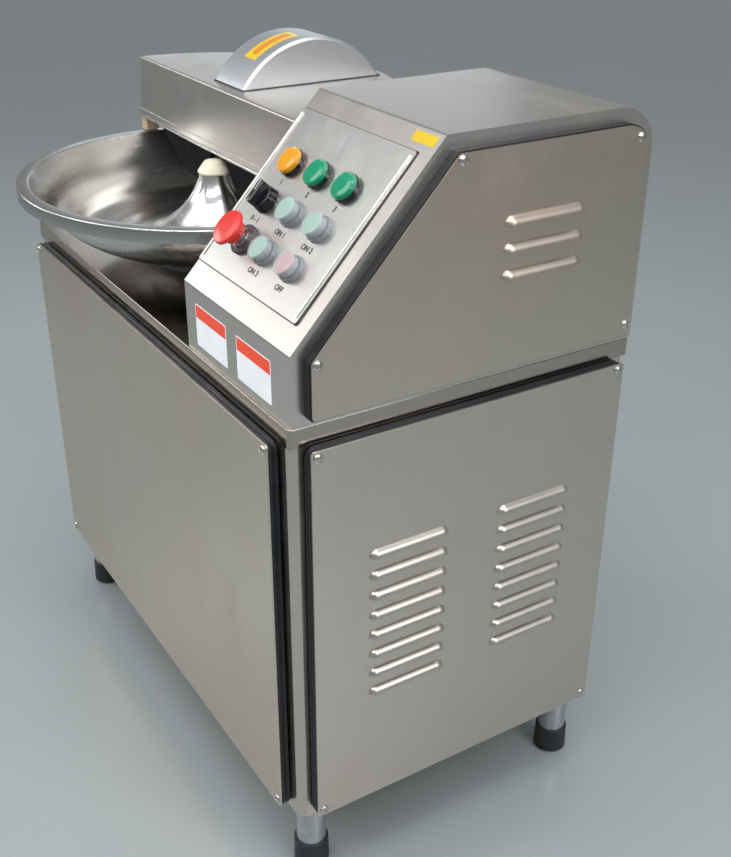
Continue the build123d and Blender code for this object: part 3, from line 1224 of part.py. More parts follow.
# ---- cover over the knives -------------------------------------------------------------
def lid_form(shrink, base, top):
    """Half-round drafted block: the cover's outside shrunk by a sheet thickness."""
    height = LID_TOP - LID_BASE
    slope = (LID_BASE_RADIUS - LID_TOP_RADIUS) / height
    low = LID_BASE_RADIUS - shrink - (base - LID_BASE) * slope
    high = LID_BASE_RADIUS - shrink - (top - LID_BASE) * slope
    drum = bowl_place() * Pos(0, 0, (base + top) / 2) * Cone(low, high, top - base)
    front = LID_FRONT + shrink
    reach = 2 * LID_BASE_RADIUS
    keep = block(BOWL_X - reach, BOWL_X + reach, front, front + reach, DECK_HEIGHT, DECK_HEIGHT + 2 * LID_TOP)
    return drum & keep


def dome_mouth_half():
    """Half length of the dome's opening in the cover's top."""
    rise = LID_TOP - DOME_CENTRE_HEIGHT
    return math.sqrt((DOME_RADIUS - LID_SHEET) ** 2 - rise ** 2) - DOME_MOUTH_MARGIN


def make_lid_cover():
    """Welded half-round cover: flat top, flat front, drafted round skirt with a hemmed edge."""
    cover = lid_form(0, LID_BASE, LID_TOP)
    top_edges = cover.faces().sort_by(Axis.Z)[-1].edges()
    cover = fillet(top_edges, LID_EDGE)
    cover += lid_form(-LID_HEM_PROUD, LID_BASE, LID_BASE + LID_HEM)
    cover -= lid_form(LID_SHEET, LID_BASE - 1, LID_TOP - LID_SHEET)
    half_width = DOME_WIDTH / 2 - LID_SHEET
    half_length = dome_mouth_half()
    cover -= block(DOME_X - half_width, DOME_X + half_width, DOME_Y - half_length, DOME_Y + half_length,
                   DECK_HEIGHT + LID_BASE, DECK_HEIGHT + LID_TOP + 1)
    slot = SNOUT_RADIUS + SLOT_CLEARANCE
    cover -= rod_x(BOWL_X + TROUGH_CENTRE_RADIUS, POD_LEFT, SHAFT_Y, SHAFT_Z, slot)
    cover -= block(BOWL_X + TROUGH_CENTRE_RADIUS, POD_LEFT, SHAFT_Y - slot, SHAFT_Y + slot, DECK_HEIGHT, SHAFT_Z)
    return cover


def make_lid_dome():
    """Round knife hood welded over the opening in the cover's top."""
    z = DECK_HEIGHT + DOME_CENTRE_HEIGHT
    x0 = DOME_X - DOME_WIDTH / 2
    x1 = DOME_X + DOME_WIDTH / 2
    hood = rod_x(x0, x1, DOME_Y, z, DOME_RADIUS)
    hood = fillet(hood.edges().filter_by(GeomType.CIRCLE), DOME_EDGE)
    hood -= rod_x(x0 + LID_SHEET, x1 - LID_SHEET, DOME_Y, z, DOME_RADIUS - LID_SHEET)
    reach = 2 * DOME_RADIUS
    return hood & block(x0, x1, DOME_Y - reach, DOME_Y + reach, DECK_HEIGHT + LID_TOP, z + reach)


def make_knife_guards():
    """Black plates inside the cover's front that close the trough each side of the hub."""
    y0 = LID_FRONT + LID_SHEET
    guards = []
    for sign in (-1, 1):
        inner = NUT_RADIUS + GUARD_NUT_GAP
        corners = [(inner, GUARD_TOP), (inner, HUB_FACE + 3 * GUARD_SHOULDER), (GUARD_HUB_REACH, GUARD_LOW),
                   (GUARD_LOW_REACH, GUARD_LOW), (GUARD_REACH, LID_BASE - GUARD_SHOULDER), (GUARD_REACH, GUARD_TOP)]
        points = [(BOWL_X + sign * x, DECK_HEIGHT + z) for x, z in corners]
        outline = FilletPolyline(*points, radius=[0, 0, GUARD_CORNER, GUARD_CORNER, 0, 0], close=True)
        face = Pos(0, y0 + GUARD_THICKNESS, 0) * (Plane.XZ * make_face(outline))
        guards.append(extrude(face, GUARD_THICKNESS))
    return group(guards)


def make_lid_wiper_block():
    """Nylon block under the cover's left front corner, just clear of the bowl's rim."""
    left = BOWL_X - LID_BASE_RADIUS
    base = DECK_HEIGHT + LID_BASE
    y0 = LID_FRONT + LID_SHEET
    foot = block(left + 1, left + 1 + BLOCK_LENGTH, LID_FRONT, y0 + BLOCK_LENGTH, base - BLOCK_REACH, base)
    x0 = left + BLOCK_SETBACK
    tongue = block(x0, x0 + BLOCK_LENGTH, y0, y0 + BLOCK_LENGTH, base - 1, base + BLOCK_LENGTH)
    return fillet(foot.edges().filter_by(Axis.Z), 2) + fillet(tongue.edges().filter_by(Axis.Z), 2)


def hinge_places():
    """X of the two hinges."""
    return [BOWL_X + offset for offset in mirrored(HINGE_SPREAD)]


def make_lid_hinge_arms():
    """Lugs welded to the back of the cover that turn on the hinge pins."""
    z = DECK_HEIGHT + HINGE_HEIGHT
    radius = EAR_RADIUS - 0.5
    half = ARM_THICKNESS / 2
    step = z + radius + 4
    top = DECK_HEIGHT + ARM_TOP
    arms = []
    for x in hinge_places():
        arm = rod_x(x - half, x + half, HINGE_Y, z, radius)
        arm += block(x - half, x + half, HINGE_Y - radius, HINGE_Y + radius, z, step)
        web = Polyline((HINGE_Y - 3 * radius, step), (HINGE_Y + radius, step), (HINGE_Y + radius, step + radius),
                       (HINGE_Y - radius, top), (HINGE_Y - 3 * radius, top), close=True)
        arm += extrude(Pos(x - half, 0, 0) * (Plane.YZ * make_face(web)), ARM_THICKNESS)
        arm -= lid_form(-LID_HEM_PROUD, LID_BASE, LID_BASE + LID_HEM)
        arm -= lid_form(0, LID_BASE, LID_TOP)
        arm -= rod_x(x - ARM_THICKNESS, x + ARM_THICKNESS, HINGE_Y, z, PIN_RADIUS + SLIP)
        arms.append(arm)
    return group(arms)


def make_hinge_brackets():
    """Forked brackets on the deck's rear edge that hold the hinge pins."""
    z = DECK_HEIGHT + HINGE_HEIGHT
    near = ARM_THICKNESS / 2 + EAR_GAP
    brackets = []
    for x in hinge_places():
        foot_back = HINGE_Y + EAR_RADIUS
        bracket = block(x - HINGE_FOOT_LENGTH / 2, x + HINGE_FOOT_LENGTH / 2, foot_back - HINGE_FOOT_DEPTH, foot_back,
                        DECK_HEIGHT, DECK_HEIGHT + HINGE_FOOT)
        for x0 in (x - near - EAR_THICKNESS, x + near):
            ear = rod_x(x0, x0 + EAR_THICKNESS, HINGE_Y, z, EAR_RADIUS)
            ear += block(x0, x0 + EAR_THICKNESS, HINGE_Y - EAR_RADIUS, HINGE_Y + EAR_RADIUS, DECK_HEIGHT + 1, z)
            bracket += ear
        bracket -= rod_x(x - PIN_LENGTH, x + PIN_LENGTH, HINGE_Y, z, PIN_RADIUS + SNUG)
        brackets.append(bracket)
    return group(brackets)


def make_hinge_pins():
    """Pins that the cover turns on."""
    z = DECK_HEIGHT + HINGE_HEIGHT
    half = PIN_LENGTH / 2
    return group([rod_x(x - half, x + half, HINGE_Y, z, PIN_RADIUS) for x in hinge_places()])


# ---- electrics -------------------------------------------------------------------------
def make_switchgear_board():
    """Upright mounting board with a folded foot on the floor tray."""
    x0 = BOARD_X - BOARD_LENGTH / 2
    x1 = BOARD_X + BOARD_LENGTH / 2
    board = block(x0, x1, BOARD_Y, BOARD_Y + TRAY_THICKNESS, TRAY_TOP, TRAY_TOP + BOARD_HEIGHT)
    return board + block(x0, x1, BOARD_Y - BOARD_FOOT, BOARD_Y + TRAY_THICKNESS, TRAY_TOP, TRAY_TOP + TRAY_THICKNESS)


def make_contactors():
    """Contactors for the knife motor and the bowl motor on their board."""
    width, depth, height = CONTACTOR
    blocks = []
    for index in range(CONTACTOR_COUNT):
        x = BOARD_X + (index - (CONTACTOR_COUNT - 1) / 2) * CONTACTOR_PITCH
        low = TRAY_TOP + CONTACTOR_RISE
        body = block(x - width / 2, x + width / 2, BOARD_Y - depth, BOARD_Y, low, low + height)
        step = height / 4
        for z in (low - 1, low + height - step + 1):
            body -= block(x - width, x + width, BOARD_Y - depth - 1, BOARD_Y - depth / 2, z, z + step)
        blocks.append(body)
    return group(blocks)


def make_cable_gland():
    """Gland in the floor tray for the supply cable."""
    neck = GLAND_NECK
    low = TRAY_BASE - GLAND_LENGTH + TRAY_THICKNESS + GLAND_NUT
    gland = turned([(GLAND_BORE_RADIUS, low), (neck, low), (GLAND_RADIUS, low + 4), (GLAND_RADIUS, TRAY_BASE),
                    (neck, TRAY_BASE), (neck, TRAY_TOP), (GLAND_RADIUS, TRAY_TOP), (GLAND_RADIUS, TRAY_TOP + GLAND_NUT),
                    (GLAND_BORE_RADIUS, TRAY_TOP + GLAND_NUT)])
    return Pos(GLAND_X, GLAND_Y, 0) * gland


# ---- export ----------------------------------------------------------------------------
NODES = {
    "corner_posts": make_corner_posts,
    "frame_rails": make_frame_rails,
    "base_tray": make_base_tray,
    "deck_plate": make_deck_plate,
    "front_panel": make_front_panel,
    "rear_panel": make_rear_panel,
    "left_panel": make_left_panel,
    "right_panel": make_right_panel,
    "panel_gaskets": make_panel_gaskets,
    "panel_screws": make_panel_screws,
    "leg_collars": make_leg_collars,
    "rubber_feet": make_rubber_feet,
    "pod_shell": make_pod_shell,
    "pod_side_panel": make_pod_side_panel,
    "pod_gasket": make_pod_gasket,
    "control_plate": make_control_plate,
    "lamp_bezels": make_lamp_bezels,
    "yellow_lens": make_yellow_lens,
    "green_lenses": make_green_lenses,
    "button_collars": make_button_collars,
    "selector_base": make_selector_base,
    "selector_knob": make_selector_knob,
    "estop_collar": make_estop_collar,
    "estop_stem": make_estop_stem,
    "estop_head": make_estop_head,
    "bowl": make_bowl,
    "bowl_spindle": make_bowl_spindle,
    "bowl_nut": make_bowl_nut,
    "bowl_bearing_housing": make_bowl_bearing_housing,
    "bearings": make_bearings,
    "bowl_gearbox": make_bowl_gearbox,
    "bowl_motor": make_bowl_motor,
    "knives": make_knives,
    "knife_spacers": make_knife_spacers,
    "knife_shaft": make_knife_shaft,
    "knife_nut": make_knife_nut,
    "knife_shaft_housing": make_knife_shaft_housing,
    "lid_rest_ring": make_lid_rest_ring,
    "shaft_pulley": make_shaft_pulley,
    "motor_pulley": make_motor_pulley,
    "motor_shaft": make_motor_shaft,
    "drive_belts": make_drive_belts,
    "main_motor": make_main_motor,
    "motor_fan_cover": make_motor_fan_cover,
    "motor_mount": make_motor_mount,
    "lid_cover": make_lid_cover,
    "lid_dome": make_lid_dome,
    "knife_guards": make_knife_guards,
    "lid_wiper_block": make_lid_wiper_block,
    "lid_hinge_arms": make_lid_hinge_arms,
    "hinge_brackets": make_hinge_brackets,
    "hinge_pins": make_hinge_pins,
    "switchgear_board": make_switchgear_board,
    "contactors": make_contactors,
    "cable_gland": make_cable_gland,
}


def export_all():
    """Write one STEP file per node, moved to the row origin."""
    os.makedirs("parts", exist_ok=True)
    to_row = Pos(-ROW_ORIGIN_X, -ROW_ORIGIN_Y, 0)
    for name, make in NODES.items():
        export_step(to_row * make(), f"parts/{name}.step")
    for index, place in enumerate(BUTTONS):
        export_step(to_row * push_button(place), f"parts/push_button_{index + 1}.step")


export_all()
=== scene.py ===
"""Looks of the bowl cutter: its finishes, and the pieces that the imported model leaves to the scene."""

import json
import logging
import math
from dataclasses import dataclass, field
from enum import Enum

import bmesh
import bpy
from mathutils import Matrix, Vector


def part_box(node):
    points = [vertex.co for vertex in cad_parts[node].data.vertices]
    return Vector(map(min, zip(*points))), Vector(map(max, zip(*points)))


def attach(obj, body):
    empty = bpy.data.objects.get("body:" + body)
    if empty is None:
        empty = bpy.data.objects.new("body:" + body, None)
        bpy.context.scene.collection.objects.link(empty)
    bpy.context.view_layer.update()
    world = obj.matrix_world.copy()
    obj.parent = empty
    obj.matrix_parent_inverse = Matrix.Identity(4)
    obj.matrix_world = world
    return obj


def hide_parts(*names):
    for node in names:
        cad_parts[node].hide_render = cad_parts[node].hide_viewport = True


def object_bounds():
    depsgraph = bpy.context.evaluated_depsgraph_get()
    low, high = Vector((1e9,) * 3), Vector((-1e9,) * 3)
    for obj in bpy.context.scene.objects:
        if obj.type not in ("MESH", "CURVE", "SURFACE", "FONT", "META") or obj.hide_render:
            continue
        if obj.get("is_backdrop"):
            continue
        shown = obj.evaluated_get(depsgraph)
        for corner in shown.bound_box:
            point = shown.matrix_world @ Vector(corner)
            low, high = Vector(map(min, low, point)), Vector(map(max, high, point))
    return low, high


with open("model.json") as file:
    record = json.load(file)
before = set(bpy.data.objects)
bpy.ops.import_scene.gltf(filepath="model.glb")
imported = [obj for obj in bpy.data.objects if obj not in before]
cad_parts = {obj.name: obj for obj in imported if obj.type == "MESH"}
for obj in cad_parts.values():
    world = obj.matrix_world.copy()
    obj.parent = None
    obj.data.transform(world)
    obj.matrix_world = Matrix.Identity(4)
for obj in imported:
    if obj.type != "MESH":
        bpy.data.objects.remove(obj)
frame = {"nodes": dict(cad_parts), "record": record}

log = logging.getLogger("bowl_cutter")
WORD_BOLD = 0.03                # share of a line's height that thickens its strokes
SINK = 0.0001                   # how far thin trim reaches into what carries it, and a band rises over its patch
CREASE = 32.0                   # angle in degrees above which an edge stays crisp
LEAST_MITRE = 0.3               # least cosine of half a corner's turn that a swept section is stretched by

Point = tuple[float, float, float]
Outline = list[tuple[float, float]]
Colour = tuple[float, float, float]


# ---- node graphs -----------------------------------------------------------------------
class Kind(Enum):
    """What a socket carries."""

    NUMBER = "number"
    VECTOR = "vector"
    COLOUR = "colour"


class Wire:
    """An output socket of a material's graph, with arithmetic on what it carries."""

    def __init__(self, graph: "Graph", socket: bpy.types.NodeSocket) -> None:
        """Wraps one socket.

        Args:
            graph: The graph that the socket belongs to.
            socket: The output socket.
        """
        self.graph = graph
        self.socket = socket
        kinds = {"VECTOR": Kind.VECTOR, "RGBA": Kind.COLOUR}
        self.kind = kinds.get(socket.type, Kind.NUMBER)

    def _join(self, operation: str, other: "Wire | float | Point", swapped: bool = False) -> "Wire":
        """Adds the Math or Vector Math node of one operation.

        Args:
            operation: The node's operation.
            other: The second operand.
            swapped: True if the other operand comes first.

        Returns:
            The result.
        """
        pair = (other, self) if swapped else (self, other)
        numbers = self.kind is Kind.NUMBER and (not isinstance(other, Wire) or other.kind is Kind.NUMBER)
        node = "ShaderNodeMath" if numbers else "ShaderNodeVectorMath"
        return self.graph.node(node, {"operation": operation}, {0: pair[0], 1: pair[1]})

    def __add__(self, other: "Wire | float | Point") -> "Wire":
        """Sum."""
        return self._join("ADD", other)

    def __radd__(self, other: "float | Point") -> "Wire":
        """Sum with a plain value first."""
        return self._join("ADD", other, True)

    def __sub__(self, other: "Wire | float | Point") -> "Wire":
        """Difference."""
        return self._join("SUBTRACT", other)

    def __rsub__(self, other: "float | Point") -> "Wire":
        """Difference with a plain value first."""
        return self._join("SUBTRACT", other, True)

    def __mul__(self, other: "Wire | float | Point") -> "Wire":
        """Product."""
        return self._join("MULTIPLY", other)

    def __rmul__(self, other: "float | Point") -> "Wire":
        """Product with a plain value first."""
        return self._join("MULTIPLY", other, True)

    def band(self, low: float, high: float, start: float = 0.0, end: float = 1.0) -> "Wire":
        """Maps low..high onto start..end, held at both ends.

        Args:
            low: Value that gives start.
            high: Value that gives end.
            start: Result at low.
            end: Result at high.

        Returns:
            The mapped number.
        """
        ends = {"Value": self, "From Min": low, "From Max": high, "To Min": start, "To Max": end}
        return self.graph.node("ShaderNodeMapRange", {"clamp": True}, ends)

    def tint(self, dark: Colour, light: Colour) -> "Wire":
        """Blends two colours by this number.

        Args:
            dark: Colour at 0.
            light: Colour at 1.

        Returns:
            The blended colour.
        """
        return self.graph.mix(self, dark, light)

    def axis(self, name: str) -> "Wire":
        """One coordinate of a vector.

        Args:
            name: X, Y or Z.

        Returns:
            That coordinate.
        """
        return self.graph.node("ShaderNodeSeparateXYZ", {}, {"Vector": self}, name)

    def length(self) -> "Wire":
        """Length of a vector."""
        return self.graph.node("ShaderNodeVectorMath", {"operation": "LENGTH"}, {0: self}, "Value")


class Graph:
    """The node tree of a new material or world."""

    def __init__(self, owner: "bpy.types.Material | bpy.types.World") -> None:
        """Starts an empty tree.

        Args:
            owner: The material or world that the tree belongs to.
        """
        self.owner = owner
        self.owner.use_nodes = True
        self.tree = self.owner.node_tree
        self.tree.nodes.clear()

    def node(self, kind: str, settings: dict, inputs: dict, output: "str | int" = 0) -> Wire:
        """Adds one node.

        Args:
            kind: The node's type name.
            settings: Attributes that are set first; "stops" fills a colour ramp.
            inputs: Socket name or index to a number, colour, vector or Wire.
            output: Name or index of the output wanted.

        Returns:
            That output.
        """
        made = self.tree.nodes.new(kind)
        for key, value in settings.items():
            if key == "stops":
                self._stops(made.color_ramp, value)
            else:
                setattr(made, key, value)
        for key, value in inputs.items():
            target = made.inputs[key]
            if isinstance(value, Wire):
                self.tree.links.new(value.socket, target)
            elif target.type == "RGBA" and len(value) == 3:
                target.default_value = (*value, 1.0)
            elif target.type == "VECTOR" and isinstance(value, (int, float)):
                target.default_value = (value, value, value)
            else:
                target.default_value = value
        return Wire(self, made.outputs[output])

    @staticmethod
    def _stops(ramp: bpy.types.ColorRamp, stops: list[tuple[float, Colour]]) -> None:
        """Fills a colour ramp.

        Args:
            ramp: The ramp.
            stops: Position and colour of each stop, from low to high.
        """
        while len(ramp.elements) < len(stops):
            ramp.elements.new(0.5)
        for element, (place, colour) in zip(ramp.elements, stops):
            element.position = place
            element.color = (*colour, 1.0)

    def place(self) -> Wire:
        """Position on the piece at rest, in metres."""
        return self.node("ShaderNodeTexCoord", {}, {}, "Object")

    def noise(self, vector: Wire, scale: float, detail: float = 3.0, rough: float = 0.55) -> Wire:
        """Fractal noise from 0 to 1.

        Args:
            vector: Coordinates.
            scale: Features per metre.
            detail: Octaves.
            rough: Share of each finer octave.

        Returns:
            The noise value.
        """
        inputs = {"Vector": vector, "Scale": scale, "Detail": detail, "Roughness": rough}
        return self.node("ShaderNodeTexNoise", {}, inputs, "Fac")

    def mix(self, factor: "Wire | float", first: "Wire | Colour", second: "Wire | Colour", blend: str = "MIX") -> Wire:
        """Blends two colours.

        Args:
            factor: Share of the second.
            first: Colour at 0.
            second: Colour at 1.
            blend: Blend type of the Mix node.

        Returns:
            The blended colour.
        """
        settings = {"data_type": "RGBA", "blend_type": blend}
        return self.node("ShaderNodeMix", settings, {0: factor, 6: first, 7: second}, 2)

    def sine(self, angle: Wire) -> Wire:
        """Sine of an angle in radians."""
        return self.node("ShaderNodeMath", {"operation": "SINE"}, {0: angle})

    def pair(self, first: Wire, second: Wire) -> Wire:
        """Vector of two numbers."""
        return self.node("ShaderNodeCombineXYZ", {}, {0: first, 1: second})

    def grey(self, shade: Wire) -> Wire:
        """Grey of one shade."""
        return self.node("ShaderNodeCombineColor", {}, {0: shade, 1: shade, 2: shade})

    def bump(self, height: Wire, depth: float) -> Wire:
        """Surface normal from a height.

        Args:
            height: Height from 0 to 1.
            depth: Real height of 1, in metres.

        Returns:
            The bumped normal.
        """
        return self.node("ShaderNodeBump", {}, {"Height": height, "Distance": depth}, "Normal")

    def finish(self, **inputs: "Wire | float | Colour") -> bpy.types.Material:
        """Adds the Principled shader and the output.

        Args:
            inputs: Socket names, with an underscore for each space, and their values.

        Returns:
            The finished material.
        """
        named = {key.replace("_", " "): value for key, value in inputs.items()}
        self.show(self.node("ShaderNodeBsdfPrincipled", {}, named, "BSDF"), "ShaderNodeOutputMaterial")
        return self.owner

    def show(self, shader: Wire, kind: str) -> None:
        """Adds the output node.

        Args:
            shader: The shader that it shows.
            kind: The output node's type name.
        """
        output = self.tree.nodes.new(kind)
        self.tree.links.new(shader.socket, output.inputs["Surface"])


# ---- finishes --------------------------------------------------------------------------
_made: dict["Finish", bpy.types.Material] = {}


def scaled(colour: Colour, share: float) -> Colour:
    """A colour with every channel times a share."""
    return tuple(channel * share for channel in colour)


@dataclass(frozen=True)
class Finish:
    """A surface finish. A frozen value, so that equal finishes share one material."""

    name: str

    def build(self, graph: Graph) -> bpy.types.Material:
        """Draws the finish into an empty graph.

        Args:
            graph: The graph.

        Returns:
            The material.
        """
        raise NotImplementedError

    def material(self) -> bpy.types.Material:
        """The finish's material, made once."""
        if self not in _made:
            _made[self] = self.build(Graph(bpy.data.materials.new(self.name)))
        return _made[self]


@dataclass(frozen=True)
class BrushedSteel(Finish):
    """Stainless sheet with a directional grain, faint staining and smudges.

    The grain is a noise stretched by a different scale along each axis: the smallest scale is the brushing direction.
    """

    tint: Colour = (0.64, 0.59, 0.525)
    stain: Colour = (0.64, 0.555, 0.50)
    rough: float = 0.34
    grain: Point = (900.0, 900.0, 12.0)
    depth: float = 0.000025

    def build(self, graph: Graph) -> bpy.types.Material:
        """Draws the finish.

        Args:
            graph: The graph.

        Returns:
            The material.
        """
        place = graph.place()
        grain = graph.noise(place * self.grain, 1.0, 2.0, 0.6)
        cloud = graph.noise(place, 3.2, 3.0, 0.5)
        smudge = graph.noise(place * (1.0, 1.0, 0.6), 14.0, 5.0, 0.62)
        wear = smudge.band(0.5, 0.72)
        base = cloud.band(0.38, 0.66).tint(self.tint, self.stain)
        shade = grain.band(0.2, 0.8, 0.955, 1.02)
        colour = graph.mix(1.0, base, graph.grey(shade), "MULTIPLY")
        rough = self.rough + (grain - 0.5) * 0.1 + wear * 0.07 + (cloud - 0.5) * 0.1
        return graph.finish(Base_Color=colour, Metallic=1.0, Roughness=rough, Normal=graph.bump(grain, self.depth))


@dataclass(frozen=True)
class SpunSteel(Finish):
    """Polished steel with fine rings round a vertical axis, as a spun bowl has; rings of painted highlight lighten its
    upward-facing inside.
    """

    centre: Point = (0.0, 0.0, 0.0)
    tint: Colour = (0.52, 0.515, 0.50)
    # Near-white that the rings of painted highlight blend towards.
    polished: Colour = (0.95, 0.95, 0.94)
    rough: float = 0.25
    rings: float = 0.0008
    inside_edge: tuple[float, float] = (0.205, 0.235)

    def build(self, graph: Graph) -> bpy.types.Material:
        """Draws the finish.

        Args:
            graph: The graph.

        Returns:
            The material.
        """
        place = graph.place() - self.centre
        flat = place * (1.0, 1.0, 0.0)
        radius, height = flat.length(), place.axis("Z")
        grain = graph.noise(graph.pair(radius * 1400.0, height * 500.0), 1.0, 2.0, 0.6)
        broad = graph.noise(graph.pair(radius * 42.0, height * 25.0), 1.0, 1.0)
        smear = graph.noise(place, 9.0, 4.0, 0.6)
        upward = graph.node("ShaderNodeNewGeometry", {}, {}, "Normal").axis("Z").band(0.0, 0.15)
        inside = radius.band(*self.inside_edge, 1.0, 0.0) * upward
        drift = graph.noise(flat, 2.6, 0.0) * 8.0
        # Painted highlight: on the upward-facing inside, rings lighten the colour towards near-white; the same rings
        # also lower the roughness.
        polish_and_painted_highlight = graph.sine(radius * 120.0 + drift).band(0.1, 1.0) * inside
        base = smear.band(0.35, 0.7).tint(self.tint, scaled(self.tint, 0.96))
        colour = graph.mix(polish_and_painted_highlight, base, self.polished)
        rough = self.rough + (grain - 0.5) * 0.1 + smear.band(0.5, 0.75, 0.0, 0.06) - polish_and_painted_highlight * 0.08
        relief = grain * 0.003 + (broad * 0.6 + graph.sine(radius * 170.0) * 0.8) * inside
        return graph.finish(Base_Color=colour, Metallic=1.0, Roughness=rough, Normal=graph.bump(relief, self.rings))


@dataclass(frozen=True)
class TurnedSteel(Finish):
    """Machined or plated steel with small scratches."""

    tint: Colour = (0.55, 0.56, 0.57)
    rough: float = 0.3

    def build(self, graph: Graph) -> bpy.types.Material:
        """Draws the finish.

        Args:
            graph: The graph.

        Returns:
            The material.
        """
        place = graph.place()
        scratch = graph.noise(place * (1.0, 0.15, 1.0), 700.0, 2.0)
        spots = graph.noise(place, 60.0, 4.0, 0.6)
        colour = spots.band(0.4, 0.7).tint(self.tint, scaled(self.tint, 0.82))
        rough = self.rough + (scratch - 0.5) * 0.18 + spots.band(0.5, 0.8, 0.0, 0.1)
        return graph.finish(Base_Color=colour, Metallic=1.0, Roughness=rough, Normal=graph.bump(scratch, 0.00003))


@dataclass(frozen=True)
class Rubber(Finish):
    """Matt rubber with a dusty bloom."""

    tint: Colour = (0.012, 0.013, 0.016)
    bloom: Colour = (0.045, 0.05, 0.06)
    rough: float = 0.42
    gloss: float = 0.6

    def build(self, graph: Graph) -> bpy.types.Material:
        """Draws the finish.

        Args:
            graph: The graph.

        Returns:
            The material.
        """
        place = graph.place()
        dust = graph.noise(place, 22.0, 5.0, 0.6)
        skin = graph.noise(place, 900.0, 2.0)
        colour = dust.band(0.45, 0.8).tint(self.tint, self.bloom)
        rough = self.rough + dust.band(0.4, 0.7, 0.0, 0.22)
        return graph.finish(
            Base_Color=colour, Roughness=rough, Specular_IOR_Level=self.gloss, Normal=graph.bump(skin, 0.00005))


@dataclass(frozen=True)
class Moulded(Finish):
    """Moulded plastic or cast paint: a fine skin, faint shade changes, a clear gloss and, where asked, a painted glow.
    """

    tint: Colour = (0.5, 0.5, 0.5)
    rough: float = 0.3
    skin: float = 900.0
    skin_depth: float = 0.00003
    coat: float = 0.0
    cover: float = 1.0
    sheer: float = 0.0
    # Emission strength: a painted glow, for parts that are no lamps.
    painted_glow: float = 0.0

    def build(self, graph: Graph) -> bpy.types.Material:
        """Draws the finish.

        Args:
            graph: The graph.

        Returns:
            The material.
        """
        place = graph.place()
        skin = graph.noise(place, self.skin, 2.0)
        tone = graph.noise(place, 45.0, 4.0, 0.6)
        colour = tone.band(0.3, 0.75).tint(self.tint, scaled(self.tint, 0.86))
        rough = self.rough + (tone - 0.5) * 0.12 + (skin - 0.5) * 0.06
        return graph.finish(
            Base_Color=colour, Roughness=rough, Coat_Weight=self.coat, Coat_Roughness=0.06,
            Alpha=self.cover, Subsurface_Weight=self.sheer, Subsurface_Scale=0.003,
            Emission_Color=self.tint, Emission_Strength=self.painted_glow, Normal=graph.bump(skin, self.skin_depth))


@dataclass(frozen=True)
class ResinFloor(Finish):
    """Pale grey poured floor with a soft gloss."""

    tint: Colour = (0.37, 0.405, 0.405)

    def build(self, graph: Graph) -> bpy.types.Material:
        """Draws the finish.

        Args:
            graph: The graph.

        Returns:
            The material.
        """
        place = graph.place()
        cloud = graph.noise(place, 1.6, 4.0, 0.5)
        ripple = graph.noise(place, 9.0, 3.0, 0.5)
        colour = cloud.band(0.3, 0.7).tint(self.tint, scaled(self.tint, 1.06))
        rough = 0.2 + (cloud - 0.5) * 0.1
        return graph.finish(Base_Color=colour, Roughness=rough, Normal=graph.bump(ripple, 0.0006))


# ---- meshes ----------------------------------------------------------------------------
def soften(points: Outline, radii: list[float], steps: int = 5) -> Outline:
    """Rounds the corners of an open outline.

    Args:
        points: The outline's corners.
        radii: Radius at each corner, 0 where it stays sharp.
        steps: Segments in each arc.

    Returns:
        The outline with arcs in place of the rounded corners.
    """
    result = []
    for index, point in enumerate(points):
        radius = radii[index]
        if radius <= 0 or index in (0, len(points) - 1):
            result.append(point)
            continue
        here = Vector(point)
        back = (Vector(points[index - 1]) - here).normalized()
        ahead = (Vector(points[index + 1]) - here).normalized()
        half = back.angle(ahead) / 2
        middle = here + (back + ahead).normalized() * radius / math.sin(half)
        first = here + back * radius / math.tan(half) - middle
        last = here + ahead * radius / math.tan(half) - middle
        for step in range(steps + 1):
            spoke = first.lerp(last, step / steps).normalized() * radius
            result.append(tuple(middle + spoke))
    return result


def arc(centre: tuple[float, float], radius: float, start: float, end: float, steps: int) -> Outline:
    """Points along an arc.

    Args:
        centre: The arc's centre.
        radius: Its radius.
        start: First angle in degrees.
        end: Last angle in degrees.
        steps: Number of segments.

    Returns:
        The points from start to end.
    """
    angles = [math.radians(start + (end - start) * step / steps) for step in range(steps + 1)]
    return [(centre[0] + radius * math.cos(a), centre[1] + radius * math.sin(a)) for a in angles]


def circle(radius: float, count: int) -> Outline:
    """Points round a circle, centred on the origin.

    Args:
        radius: Its radius.
        count: Number of points.

    Returns:
        The points, anticlockwise.
    """
    turns = [2 * math.pi * index / count for index in range(count)]
    return [(radius * math.cos(turn), radius * math.sin(turn)) for turn in turns]


def rounded_box(width: float, height: float, radius: float, steps: int = 4) -> Outline:
    """Closed outline of a rectangle with rounded corners, centred on the origin.

    Args:
        width: Size along the first axis.
        height: Size along the second axis.
        radius: Corner radius.
        steps: Segments in each corner.

    Returns:
        The outline, anticlockwise.
    """
    x, y = width / 2 - radius, height / 2 - radius
    corners = [((x, y), 0), ((-x, y), 90), ((-x, -y), 180), ((x, -y), 270)]
    return [point for centre, start in corners for point in arc(centre, radius, start, start + 90, steps)]


